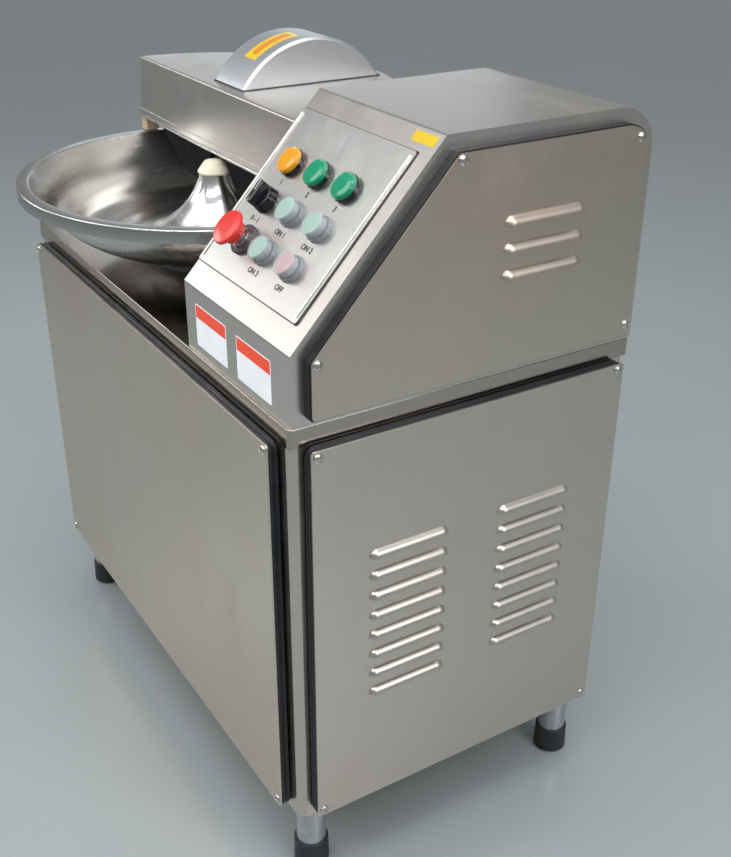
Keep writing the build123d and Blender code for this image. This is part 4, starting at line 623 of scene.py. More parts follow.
class Piece:
    """A mesh under way, which ends as one object that rides on a body."""

    def __init__(self, name: str, slot: str, finish: Finish, body: str = "machine") -> None:
        """Starts an empty mesh.

        Args:
            name: The piece's name.
            slot: The record's material slot; kept on the piece but not used.
            finish: Its finish.
            body: The body that it rides on.
        """
        self.name = name
        self.slot = slot
        self.finish = finish
        self.body = body
        self.mesh = bmesh.new()

    def revolve(self, profile: Outline, place: Matrix, segments: int = 64, closed: bool = False) -> None:
        """Adds a body of revolution.

        Args:
            profile: (radius, height) points; a radius of 0 closes the form at its axis.
            place: Frame whose Z axis is the form's axis.
            segments: Segments round the axis.
            closed: True if the profile's end joins its start.
        """
        rings = []
        for radius, height in profile:
            if radius < 1e-7:
                rings.append([self.mesh.verts.new(place @ Vector((0, 0, height)))] * segments)
                continue
            rings.append([self.mesh.verts.new(place @ Vector((x, y, height))) for x, y in circle(radius, segments)])
        pairs = list(zip(rings, rings[1:])) + ([(rings[-1], rings[0])] if closed else [])
        for low, high in pairs:
            for index in range(segments):
                after = (index + 1) % segments
                corners = list(dict.fromkeys((low[index], low[after], high[after], high[index])))
                if len(corners) > 2:
                    self.mesh.faces.new(corners)

    def slab(self, outline: Outline, low: float, high: float, place: Matrix, edge: float = 0.0,
             steps: int = 2) -> None:
        """Adds a flat prism, with its upper edges rounded if asked.

        Args:
            outline: Closed outline in the frame's X and Y.
            low: Height of its underside.
            high: Height of its top.
            place: The frame.
            edge: Radius of the upper edges.
            steps: Segments in that radius.
        """
        base = [self.mesh.verts.new(place @ Vector((x, y, low))) for x, y in outline]
        top = [self.mesh.verts.new(place @ Vector((x, y, high))) for x, y in outline]
        self.mesh.faces.new(base[::-1])
        cap = self.mesh.faces.new(top)
        for index in range(len(outline)):
            after = (index + 1) % len(outline)
            self.mesh.faces.new((base[index], base[after], top[after], top[index]))
        if edge > 0:
            bmesh.ops.bevel(self.mesh, geom=list(cap.edges), offset=edge, segments=steps, affect="EDGES", profile=0.5)

    def loop(self, path: list[Vector], section: Outline, out: Vector) -> None:
        """Sweeps a closed section round a closed flat path.

        Args:
            path: Corners of the path.
            section: Closed section: first axis away from the loop's middle, second along out.
            out: The path plane's normal.
        """
        count = len(path)
        rings = []
        for index, point in enumerate(path):
            back = (point - path[index - 1]).normalized()
            ahead = (path[(index + 1) % count] - point).normalized()
            side = (back + ahead).normalized().cross(out).normalized()
            stretch = 1 / max(side.dot(back.cross(out).normalized()), LEAST_MITRE)
            rings.append([self.mesh.verts.new(point + side * stretch * s + out * t) for s, t in section])
        for index in range(count):
            low, high = rings[index], rings[(index + 1) % count]
            for k in range(len(section)):
                after = (k + 1) % len(section)
                self.mesh.faces.new((low[k], low[after], high[after], high[k]))

    def words(self, text: str, size: float, depth: float, place: Matrix) -> None:
        """Adds plain figures or letters as thin raised shapes.

        Args:
            text: What they say.
            size: Height of a line.
            depth: How far they stand out.
            place: Frame whose XY plane they lie in, centred on its origin.
        """
        curve = bpy.data.curves.new(self.name, "FONT")
        curve.body = text
        curve.size = size
        curve.extrude = depth
        curve.offset = size * WORD_BOLD
        curve.resolution_u = 3
        curve.align_x = "CENTER"
        curve.align_y = "CENTER"
        holder = bpy.data.objects.new(self.name, curve)
        bpy.context.scene.collection.objects.link(holder)
        bpy.context.view_layer.update()
        flat = bpy.data.meshes.new_from_object(holder.evaluated_get(bpy.context.evaluated_depsgraph_get()))
        flat.transform(place)
        self.mesh.from_mesh(flat)
        bpy.data.objects.remove(holder)
        bpy.data.curves.remove(curve)
        bpy.data.meshes.remove(flat)

    def place(self, *stands_for: str) -> None:
        """Makes the object and fixes it to its body.

        Args:
            stands_for: The CAD nodes that it replaces.
        """
        bmesh.ops.recalc_face_normals(self.mesh, faces=self.mesh.faces)
        data = bpy.data.meshes.new(self.name)
        self.mesh.to_mesh(data)
        self.mesh.free()
        data.shade_smooth()
        data.set_sharp_from_angle(angle=math.radians(CREASE))
        piece = bpy.data.objects.new(self.name, data)
        bpy.context.scene.collection.objects.link(piece)
        data.materials.append(self.finish.material())
        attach(piece, self.body)
        if stands_for:
            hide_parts(*stands_for)
        log.info("%s on %s: %d faces", self.name, self.body, len(data.polygons))


# ---- finishes of this machine ----------------------------------------------------------
PANEL_STEEL = BrushedSteel("panel_steel")
FRONT_STEEL = BrushedSteel("front_steel", tint=(0.645, 0.585, 0.49), stain=(0.665, 0.55, 0.475))
DECK_STEEL = BrushedSteel("deck_steel", grain=(12.0, 900.0, 900.0), rough=0.15, tint=(0.46, 0.42, 0.37),
                          stain=(0.48, 0.41, 0.35))
HOOD_STEEL = BrushedSteel("hood_steel", grain=(60.0, 60.0, 900.0), rough=0.38, tint=(0.74, 0.75, 0.77),
                          stain=(0.72, 0.71, 0.71))
FRAME_STEEL = BrushedSteel("frame_steel", rough=0.3)
HOUSING_STEEL = BrushedSteel("housing_steel", grain=(12.0, 900.0, 900.0), rough=0.3, tint=(0.68, 0.65, 0.61),
                             stain=(0.67, 0.62, 0.57))
PLATE_STEEL = BrushedSteel("plate_steel", grain=(900.0, 30.0, 30.0), rough=0.3, tint=(0.7, 0.69, 0.67),
                           stain=(0.69, 0.66, 0.63), depth=0.000004)
COVER_STEEL = BrushedSteel("cover_steel", grain=(60.0, 60.0, 900.0), rough=0.34, tint=(0.66, 0.625, 0.58),
                           stain=(0.64, 0.56, 0.5))
BRIGHT_STEEL = TurnedSteel("bright_steel", tint=(0.72, 0.71, 0.69), rough=0.16)
TURNED = TurnedSteel("turned_steel")
BLADE_STEEL = TurnedSteel("blade_steel", tint=(0.7, 0.71, 0.72), rough=0.12)
SCREW_STEEL = TurnedSteel("screw_steel", tint=(0.66, 0.64, 0.61), rough=0.2)
ZINC = TurnedSteel("zinc_plate", tint=(0.55, 0.57, 0.6), rough=0.4)
CAST = Moulded("cast_paint", (0.3, 0.31, 0.32), rough=0.5, skin=300.0, skin_depth=0.0002)
MOTOR_PAINT = Moulded("motor_paint", (0.12, 0.2, 0.3), rough=0.35, skin=500.0, skin_depth=0.0001)
GASKET_RUBBER = Rubber("gasket_rubber", tint=(0.008, 0.009, 0.012), bloom=(0.025, 0.028, 0.036), rough=0.36,
                       gloss=0.45)
FOOT_RUBBER = Rubber("foot_rubber", rough=0.5)
GUARD_RUBBER = Rubber("guard_black", tint=(0.004, 0.004, 0.005), bloom=(0.009, 0.009, 0.01), rough=0.7, gloss=0.12)
BLACK_PLASTIC = Moulded("black_plastic", (0.008, 0.009, 0.012), rough=0.16, coat=0.5)
GREY_PLASTIC = Moulded("grey_plastic", (0.3, 0.31, 0.32), rough=0.4)
RING_PLASTIC = Moulded("ring_plastic", (0.3, 0.315, 0.34), rough=0.2, coat=0.4)
IVORY = Moulded("ivory_plastic", (0.9, 0.84, 0.64), rough=0.34, sheer=0.15)
TAN = Moulded("tan_plastic", (0.66, 0.5, 0.32), rough=0.4)
YELLOW_LENS = Moulded("yellow_lens", (0.86, 0.36, 0.003), rough=0.12, coat=0.4, sheer=0.1)
GREEN_LENS = Moulded("green_lens", (0.001, 0.3, 0.15), rough=0.12, coat=0.4, sheer=0.1)
RED = Moulded("red_plastic", (0.8, 0.032, 0.026), rough=0.24, coat=0.15)
PALE_GREEN = Moulded("pale_green_cap", (0.27, 0.64, 0.42), rough=0.3, sheer=0.1)
PALE_PINK = Moulded("pale_pink_cap", (0.76, 0.28, 0.23), rough=0.3, sheer=0.1)
CLEAR = Moulded("clear_cap", (0.76, 0.82, 0.86), rough=0.1, cover=0.3, coat=0.6)
CHROME = TurnedSteel("chrome_collar", tint=(0.8, 0.8, 0.82), rough=0.08)
WHITE_PAINT = Moulded("white_paint", (0.75, 0.75, 0.74), rough=0.35)
SMOKE_PLASTIC = Moulded("smoke_plastic", (0.09, 0.075, 0.08), rough=0.25)
INK = Moulded("dark_ink", (0.045, 0.045, 0.05), rough=0.5)
# The white patch and its red band have a painted glow: they emit light though they are no lamps, to look brighter.
PATCH_WHITE = Moulded("patch_white", (0.9, 0.92, 0.96), rough=0.3, coat=0.2, painted_glow=0.3)
PATCH_RED = Moulded("patch_red", (0.85, 0.07, 0.02), rough=0.35, painted_glow=0.3)
PATCH_YELLOW = Moulded("patch_yellow", (0.83, 0.56, 0.005), rough=0.3, coat=0.3)
PATCH_ORANGE = Moulded("patch_orange", (0.76, 0.24, 0.004), rough=0.3, coat=0.3)
# Near-black of the hood's sealing bead, which partly stands in for shadow, and of the painted shadow line round the
# control plate.
SEALANT_AND_SHADOW = Rubber("sealant_and_painted_shadow", tint=(0.02, 0.022, 0.028), bloom=(0.05, 0.055, 0.065), rough=0.4)

SLOT_FINISHES: dict[str, Finish] = {
    "satin_steel": FRAME_STEEL, "panel_steel": PANEL_STEEL, "polished_steel": COVER_STEEL,
    "machined_steel": TURNED, "blade_steel": BLADE_STEEL, "screw_steel": SCREW_STEEL,
    "black_rubber": GASKET_RUBBER, "black_plastic": BLACK_PLASTIC, "grey_plastic": GREY_PLASTIC,
    "ivory_plastic": IVORY, "tan_plastic": TAN, "yellow_lens": YELLOW_LENS, "green_lens": GREEN_LENS,
    "clear_cap": PALE_GREEN, "pink_cap": PALE_PINK, "red_plastic": RED, "metal_collar": CHROME,
    "cast_grey": CAST, "motor_paint": MOTOR_PAINT, "zinc_plate": ZINC,
}
NODE_FINISHES: dict[str, Finish] = {
    "front_panel": FRONT_STEEL, "pod_side_panel": FRONT_STEEL, "lid_dome": HOOD_STEEL,
    "deck_plate": DECK_STEEL, "pod_shell": HOUSING_STEEL, "control_plate": PLATE_STEEL,
    "rubber_feet": FOOT_RUBBER, "knife_shaft_housing": BRIGHT_STEEL, "knife_guards": GUARD_RUBBER,
    "button_collars": RING_PLASTIC,
}


def dress_nodes() -> None:
    """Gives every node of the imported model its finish."""
    slots = {entry["node"]: entry["material_slot"] for entry in frame["record"]["subparts"]}
    for name, node in frame["nodes"].items():
        finish = NODE_FINISHES.get(name, SLOT_FINISHES[slots[name]])
        node.data.materials.clear()
        node.data.materials.append(finish.material())
    log.info("finishes on %d nodes", len(frame["nodes"]))


# ---- bowl ------------------------------------------------------------------------------
@dataclass
class Bowl:
    """The spun bowl and the nut that holds it, in metres from the deck's top."""

    wall: float = 0.0025
    trough_centre: float = 0.126
    trough_radius: float = 0.112
    trough_height: float = 0.1415
    flare: float = 33.0
    hub_face: float = 0.1085
    hub_base: float = 0.054
    rim_band: float = 0.017
    rim_edge: float = 0.0025
    hem_edge: float = 0.0008
    bore: float = 0.0085
    nut_bore: float = 0.0082
    nut_radius: float = 0.0222
    nut_foot: float = 0.0006
    nut_rise: float = 0.0026
    nut_shoulder: float = 0.0125
    nut_crown: float = 0.0012
    nut_height: float = 0.017
    centre: Vector = field(init=False)
    rim_radius: float = field(init=False)
    rim_top: float = field(init=False)

    def __post_init__(self) -> None:
        """Reads the bowl's place from the frame."""
        low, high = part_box("bowl")
        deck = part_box("deck_plate")[1].z
        self.centre = Vector(((low.x + high.x) / 2, (low.y + high.y) / 2, deck))
        self.rim_radius = (high.x - low.x) / 2
        self.rim_top = high.z - deck

    def trough(self, radius: float, height: float) -> tuple[float, float]:
        """Point of the trough's inner half at a height.

        Args:
            radius: Radius of the trough's section.
            height: Height above the deck.

        Returns:
            The (radius, height) point on the hub's side.
        """
        drop = self.trough_height - height
        return self.trough_centre - math.sqrt(radius ** 2 - drop ** 2), height

    def profile(self) -> Outline:
        """Closed section of the bowl.

        Returns:
            (radius, height) points, from the stud hole over the inside and back under the outside.
        """
        outer = self.trough_radius + self.wall
        centre = (self.trough_centre, self.trough_height)
        hub = self.trough(self.trough_radius, self.hub_face)
        foot = self.trough(outer, self.hub_base)
        start = math.degrees(math.atan2(hub[1] - centre[1], hub[0] - centre[0]))
        stop = math.degrees(math.atan2(foot[1] - centre[1], foot[0] - centre[0]))
        inside = arc(centre, self.trough_radius, start % 360, 360 - self.flare, 40)
        outside = arc(centre, outer, 360 - self.flare, stop % 360, 34)
        slope = math.tan(math.radians(self.flare))
        fold = self.rim_top - self.wall
        lip = (inside[-1][0] + (self.rim_top - inside[-1][1]) * slope, self.rim_top)
        under = (outside[0][0] + (fold - outside[0][1]) * slope, fold)
        hem = self.rim_top - self.rim_band
        band = self.rim_radius - self.wall
        rim = [inside[-1], lip, (self.rim_radius, self.rim_top), (self.rim_radius, hem), (band, hem), (band, fold),
               under, outside[0]]
        edges = [0, self.rim_edge, self.rim_edge, self.hem_edge, self.hem_edge, 0, 0, 0]
        return ([(self.bore, self.hub_face)] + inside[:-1] + soften(rim, edges) + outside[1:]
                + [(self.bore, self.hub_base)])

    def build(self) -> None:
        """Makes the bowl and its nut."""
        at = Matrix.Translation(self.centre)
        steel = SpunSteel("bowl_steel", centre=tuple(self.centre))
        bowl = Piece("bowl_shell", "polished_steel", steel, "bowl")
        bowl.revolve(self.profile(), at, 180, closed=True)
        bowl.place("bowl")
        face, tip = self.hub_face, self.hub_face + self.nut_height
        points = [(self.nut_bore, face), (self.nut_radius - self.nut_foot, face),
                  (self.nut_radius, face + self.nut_rise), (self.nut_shoulder, tip - self.nut_crown), (0, tip)]
        nut = Piece("bowl_cap_nut", "ivory_plastic", IVORY, "bowl")
        nut.revolve(soften(points, [0, 0.0012, 0.0016, 0.006, 0], 7), at, 64)
        nut.place("bowl_nut")


# ---- controls --------------------------------------------------------------------------
@dataclass
class ControlSlope:
    """The sloping control plate, with the columns and rows that its switches stand in."""

    columns: tuple[float, float, float] = (0.050, 0.106, 0.162)
    rows: tuple[float, float, float] = (0.043, 0.091, 0.139)
    stop_aside: float = 0.008
    slope: float = 47.225
    thickness: float = 0.0025

    def lean(self) -> float:
        """Cotangent of the slope's angle."""
        return 1 / math.tan(math.radians(self.slope))

    def at(self, across: float, up: float, height: float = 0.0) -> Matrix:
        """Frame on the plate's upper surface.

        Args:
            across: Distance from the plate's left edge.
            up: Distance up the slope from its lower edge.
            height: Distance out from its surface.

        Returns:
            The frame, whose Z axis is the plate's normal.
        """
        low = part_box("control_plate")[0]
        turn = Matrix.Rotation(math.radians(self.slope), 4, "X")
        origin = Vector((low.x, low.y, low.z + self.thickness * math.cos(math.radians(self.slope))))
        return Matrix.Translation(origin) @ turn @ Matrix.Translation((across, up, height))

    def control(self, column: int, row: int, aside: float = 0.0) -> Matrix:
        """Frame of one switch or lamp.

        Args:
            column: 0, 1 or 2 from the left.
            row: 0, 1 or 2 from below.
            aside: Extra distance to the right.

        Returns:
            The frame on the plate's surface.
        """
        return self.at(self.columns[column] + aside, self.rows[row])


@dataclass
class Lamps:
    """The pilot lamps' lenses, in their thin black rims."""

    slope: ControlSlope
    lens_radius: float = 0.0154
    lens_top: float = 0.0112
    base: float = 0.0042
    stem_radius: float = 0.008
    rim_radius: float = 0.0165
    rim_top: float = 0.0054

    def lens(self, piece: Piece, column: int) -> None:
        """Adds one domed lens with a stepped edge.

        Args:
            piece: The mesh that takes it.
            column: The lamp's column.
        """
        radius, top, low = self.lens_radius, self.lens_top, self.base
        points = [(0, 0.0002), (self.stem_radius, 0.0002), (self.stem_radius, low), (radius, low),
                  (radius, top - 0.0016), (radius - 0.0012, top - 0.0004), (radius - 0.0022, top - 0.0008),
                  (radius * 0.5, top), (0, top)]
        piece.revolve(soften(points, [0, 0, 0, 0, 0.0008, 0.0005, 0.0004, 0.02, 0], 4), self.slope.control(column, 2))

    def build(self) -> None:
        """Makes the lenses and their rims."""
        yellow = Piece("lamp_lens_yellow", "yellow_lens", YELLOW_LENS)
        self.lens(yellow, 0)
        yellow.place("yellow_lens")
        green = Piece("lamp_lenses_green", "green_lens", GREEN_LENS)
        for column in (1, 2):
            self.lens(green, column)
        green.place("green_lenses")
        rims = Piece("lamp_rims", "black_plastic", BLACK_PLASTIC)
        inner, outer, low, top = self.lens_radius + 0.0001, self.rim_radius, self.base, self.rim_top
        ring = [(inner, low), (outer, low), (outer, top - 0.001), (outer - 0.0006, top), (inner, top)]
        for column in range(3):
            rims.revolve(ring, self.slope.control(column, 2), closed=True)
        rims.place()


@dataclass
class PushButtons:
    """The four push buttons: a coloured plunger under a clear cap."""

    slope: ControlSlope
    cap_radius: float = 0.0141
    neck_radius: float = 0.0134
    neck: float = 0.0033
    cap_wall: float = 0.0008
    cap_top: float = 0.0145
    skirt: float = 0.0044
    plunger_radius: float = 0.0122
    plunger_depth: float = 0.0028
    stem_radius: float = 0.0085
    stem_low: float = -0.006
    places: tuple[tuple[int, int], ...] = ((1, 1), (2, 1), (1, 0), (2, 0))

    def button(self, number: int) -> None:
        """Makes one button.

        Args:
            number: 1 to 4.
        """
        at = self.slope.control(*self.places[number - 1])
        body, node = f"button_{number}", f"push_button_{number}"
        pink = number == len(self.places)
        slot, tint = ("pink_cap", PALE_PINK) if pink else ("clear_cap", PALE_GREEN)
        roof = self.cap_top - self.cap_wall
        plunger = Piece(f"button_{number}_plunger", slot, tint, body)
        face = roof - 0.0002
        under = face - self.plunger_depth
        points = [(0, under), (self.plunger_radius, under), (self.plunger_radius, face), (0, face)]
        plunger.revolve(soften(points, [0, 0, 0.0008, 0]), at)
        plunger.place()
        stem = Piece(f"button_{number}_stem", "ivory_plastic", GREY_PLASTIC, body)
        points = [(0, self.stem_low), (self.stem_radius, self.stem_low), (self.stem_radius, self.skirt),
                  (self.plunger_radius - 0.0008, self.skirt), (self.plunger_radius - 0.0018, under), (0, under)]
        stem.revolve(soften(points, [0, 0, 0, 0.0004, 0, 0]), at)
        stem.place()
        outer, inner, step = self.cap_radius, self.neck_radius - self.cap_wall, self.skirt + self.neck
        shell = [(inner, self.skirt), (self.neck_radius, self.skirt), (self.neck_radius, step), (outer, step + 0.0003),
                 (outer - 0.0004, self.cap_top), (0, self.cap_top), (0, roof), (inner - 0.0002, roof),
                 (inner, self.skirt)]
        cap = Piece(f"button_{number}_cap", slot, CLEAR, body)
        cap.revolve(soften(shell, [0, 0, 0, 0.0002, 0.0015, 0, 0, 0.0006, 0]), at)
        cap.place(node)

    def build(self) -> None:
        """Makes the four buttons."""
        for number in range(1, len(self.places) + 1):
            self.button(number)


@dataclass
class Selector:
    """The turning knob with its white pointer line."""

    slope: ControlSlope
    low: float = 0.0043
    disc_top: float = 0.0118
    top: float = 0.0215
    radius: float = 0.015
    bar_width: float = 0.0098
    stem_radius: float = 0.005
    stem_low: float = -0.005

    def build(self) -> None:
        """Makes the knob and its pointer."""
        at = self.slope.control(0, 1)
        knob = Piece("selector_grip", "black_plastic", BLACK_PLASTIC, "selector")
        points = [(0, self.stem_low), (self.stem_radius, self.stem_low), (self.stem_radius, self.low),
                  (self.radius, self.low), (self.radius - 0.001, self.disc_top), (0, self.disc_top)]
        knob.revolve(soften(points, [0, 0, 0, 0, 0.0012, 0]), at, 48)
        bar = rounded_box(self.bar_width, 2 * self.radius - 0.002, self.bar_width * 0.35)
        knob.slab(bar, self.disc_top - 0.003, self.top, at, 0.0012, 3)
        knob.place("selector_knob")
        line = Piece("selector_pointer", "ivory_plastic", WHITE_PAINT, "selector")
        mark = rounded_box(0.0014, self.radius * 0.8, 0.0005, 2)
        line.slab(mark, self.top - 0.0002, self.top + 0.0001, at @ Matrix.Translation((0, self.radius * 0.45, 0)))
        line.place()


@dataclass
class EmergencyStop:
    """The red mushroom head and the grey cover over its base."""

    slope: ControlSlope
    head_radius: float = 0.0205
    neck_radius: float = 0.0135
    bottom: float = 0.014
    top: float = 0.0295
    disc: float = 0.024
    stem_radius: float = 0.006
    base_radius: float = 0.0177
    base_height: float = 0.0043
    collar_radius: float = 0.0121

    def build(self) -> None:
        """Makes the head and the base cover."""
        at = self.slope.control(0, 0, self.slope.stop_aside)
        bore = self.stem_radius + 0.00005
        roof = self.top - self.stem_radius + 0.0003
        points = [(bore, self.bottom), (self.neck_radius, self.bottom), (self.neck_radius + 0.001, self.disc - 0.002),
                  (self.head_radius, self.disc), (self.head_radius - 0.0006, self.top - 0.0012),
                  (self.head_radius * 0.5, self.top - 0.0001), (0, self.top), (0, roof), (bore, roof),
                  (bore, self.bottom)]
        head = Piece("stop_head", "red_plastic", RED, "estop_turn")
        head.revolve(soften(points, [0, 0.0012, 0.002, 0.0014, 0.0016, 0.03, 0, 0, 0, 0], 6), at, 96)
        head.place("estop_head")
        inner, outer, height = self.collar_radius, self.base_radius, self.base_height
        ring = [(inner, 0.0001), (outer, 0.0001), (outer, height - 0.001), (outer - 0.001, height), (inner, height)]
        cover = Piece("stop_base_cover", "grey_plastic", SMOKE_PLASTIC)
        cover.revolve(ring, at, 64, closed=True)
        cover.place()


@dataclass
class PlatePaintedShadow:
    """Near-black strip round the foot of the control plate: a painted shadow line under the raised plate's edge."""

    slope: ControlSlope
    width: float = 0.0013
    height: float = 0.0006

    def build(self) -> None:
        """Makes the line."""
        low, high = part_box("control_plate")
        across = high.x - low.x
        along = (high.z - low.z) / math.sin(math.radians(self.slope.slope)) - self.slope.thickness * self.slope.lean()
        foot = self.slope.at(across / 2, along / 2, -self.slope.thickness)
        path = [foot @ Vector((x, y, 0)) for x, y in rounded_box(across, along, 0.001, 2)]
        lap = 2 * SINK
        section = [(-lap, -lap), (self.width, -lap), (self.width, self.height), (-lap, self.height)]
        # Painted shadow: a dark strip where the raised plate's edge casts shade.
        line = Piece("plate_painted_shadow", "black_rubber", SEALANT_AND_SHADOW)
        line.loop(path, section, foot.to_3x3() @ Vector((0, 0, 1)))
        line.place()


@dataclass
class PlateMarks:
    """Plain figures on the control plate."""

    slope: ControlSlope
    size: float = 0.0088
    drop: float = 0.0232
    depth: float = 0.0001
    figures: tuple[tuple[str, int, int], ...] = (
        ("1", 0, 2), ("2", 1, 2), ("3", 2, 2), ("0 - 1", 0, 1), ("ON 1", 1, 1), ("ON 2", 2, 1), ("ON 3", 1, 0),
        ("OFF", 2, 0))

    def build(self) -> None:
        """Makes the figures."""
        marks = Piece("plate_marks", "black_plastic", INK)
        for text, column, row in self.figures:
            across, up = self.slope.columns[column], self.slope.rows[row] - self.drop
            marks.words(text, self.size, self.depth, self.slope.at(across, up, self.depth))
        marks.place()


# ---- screws and seals ------------------------------------------------------------------
def islands(node: str) -> list[tuple[Vector, Vector]]:
    """Boxes of the separate solids of a node.

    Args:
        node: The node's name.

    Returns:
        The lowest and highest corner of each solid.
    """
    mesh = bmesh.new()
    mesh.from_mesh(frame["nodes"][node].data)
    bmesh.ops.remove_doubles(mesh, verts=mesh.verts, dist=1e-6)
    seen: set = set()
    boxes = []
    for seed in mesh.verts:
        if seed in seen:
            continue
        seen.add(seed)
        front, points = [seed], []
        while front:
            here = front.pop()
            points.append(here.co.copy())
            near = [edge.other_vert(here) for edge in here.link_edges]
            fresh = [vert for vert in near if vert not in seen]
            seen.update(fresh)
            front.extend(fresh)
        low, high = (Vector([pick(point[axis] for point in points) for axis in range(3)]) for pick in (min, max))
        boxes.append((low, high))
    mesh.free()
    return boxes


@dataclass
class Screws:
    """Domed panel screws with a cross recess, each turned by its place: spin is in radians per metre."""

    radius: float = 0.0058
    height: float = 0.003
    edge: float = 0.0004
    cross_reach: float = 0.003
    cross_half: float = 0.00055
    cross_depth: float = 0.0013
    dome_power: float = 2.4
    rings: int = 14
    spokes: int = 40
    shank_sides: int = 16
    spin: tuple[float, float] = (40.0, 25.0)

    def surface(self, across: float, along: float) -> float:
        """Height of the head above its seat.

        Args:
            across: First coordinate from its axis.
            along: Second coordinate from its axis.

        Returns:
            The height.
        """
        share = min(1.0, math.hypot(across, along) / self.radius)
        dome = self.edge + (self.height - self.edge) * math.sqrt(max(0.0, 1 - share ** self.dome_power))
        small, large = sorted((abs(across), abs(along)))
        inside = small < self.cross_half and large < self.cross_reach
        return dome - (self.cross_depth if inside else 0.0)

    def head(self, piece: Piece, place: Matrix) -> None:
        """Adds one head.

        Args:
            piece: The mesh that takes it.
            place: Frame at the middle of its seat, Z outward.
        """
        make = piece.mesh.verts.new
        middle = make(place @ Vector((0, 0, self.surface(0, 0))))
        previous = None
        for ring in range(1, self.rings + 1):
            spots = circle(self.radius * ring / self.rings, self.spokes)
            current = [make(place @ Vector((x, y, self.surface(x, y)))) for x, y in spots]
            for k in range(self.spokes):
                after = (k + 1) % self.spokes
                corners = (middle, current[k], current[after])
                if previous:
                    corners = (previous[k], current[k], current[after], previous[after])
                piece.mesh.faces.new(corners)
            previous = current
        seat = [make(place @ Vector((x, y, 0))) for x, y in circle(self.radius, self.spokes)]
        for k in range(self.spokes):
            after = (k + 1) % self.spokes
            piece.mesh.faces.new((previous[k], seat[k], seat[after], previous[after]))
        piece.mesh.faces.new(seat)

    def build(self) -> None:
        """Makes all the panel screws."""
        low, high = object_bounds()
        middle = (low + high) / 2
        piece = Piece("cross_head_screws", "screw_steel", SCREW_STEEL)
        for first, last in islands("panel_screws"):
            size = last - first
            axis = max(range(3), key=lambda k: size[k])
            centre = (first + last) / 2
            side = 1 if centre[axis] > middle[axis] else -1
            out = Vector([side if k == axis else 0 for k in range(3)])
            tip = last[axis] if side > 0 else first[axis]
            seat = centre.copy()
            seat[axis] = tip - side * self.height
            turn = out.to_track_quat("Z", "Y").to_matrix().to_4x4()
            tilt = Matrix.Rotation(seat.x * self.spin[0] + seat.z * self.spin[1], 4, "Z")
            place = Matrix.Translation(seat) @ turn @ tilt
            self.head(piece, place)
            shank = self.radius / 2
            low_end = -size[axis] + self.height
            piece.revolve([(0, low_end), (shank, low_end), (shank, 0)], place, self.shank_sides)
        piece.place("panel_screws")


@dataclass
class Seals:
    """Moulded rubber frames behind the four cabinet panels, with two beads round their outside."""

    proud: float = 0.0015
    corner: float = 0.0105
    width: float = 0.008

    def section(self, depth: float) -> Outline:
        """Closed section: distance out past the panel's edge, and distance out from the cabinet.

        Args:
            depth: Thickness of the seal.

        Returns:
            The section.
        """
        out, dip = self.proud, -0.0012
        beads = [(0.0, 0.0), (out, 0.14), (out, 0.36), (dip, 0.52), (out * 0.6, 0.66), (out, 0.74), (out, 0.9),
                 (0.0, 1.0)]
        wall = [(s, t * depth) for s, t in beads]
        wall = soften(wall, [0, 0.0012, 0.0012, 0.0009, 0, 0.0012, 0.0012, 0], 3)
        return wall + [(-self.width, depth), (-self.width, 0.0)]

    def build(self) -> None:
        """Makes the four frames."""
        piece = Piece("panel_seals", "black_rubber", GASKET_RUBBER)
        low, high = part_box("panel_gaskets")
        deck_low, deck_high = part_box("deck_plate")
        sides = {"front_panel": (1, -1), "rear_panel": (1, 1), "left_panel": (0, -1), "right_panel": (0, 1)}
        for node, (axis, sign) in sides.items():
            first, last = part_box(node)
            edge = low[axis] if sign < 0 else high[axis]
            out = Vector([sign if k == axis else 0 for k in range(3)])
            up = Vector((0, 0, 1))
            right = up.cross(out)
            depth = abs(edge - (deck_low[axis] if sign < 0 else deck_high[axis]))
            middle = (first + last) / 2
            middle[axis] = edge - sign * depth
            span = (last - first)[1 - axis]
            tall = (last - first).z
            path = [middle + right * x + up * y for x, y in rounded_box(span, tall, self.corner, 6)]
            piece.loop(path, self.section(depth), out)
        piece.place("panel_gaskets")
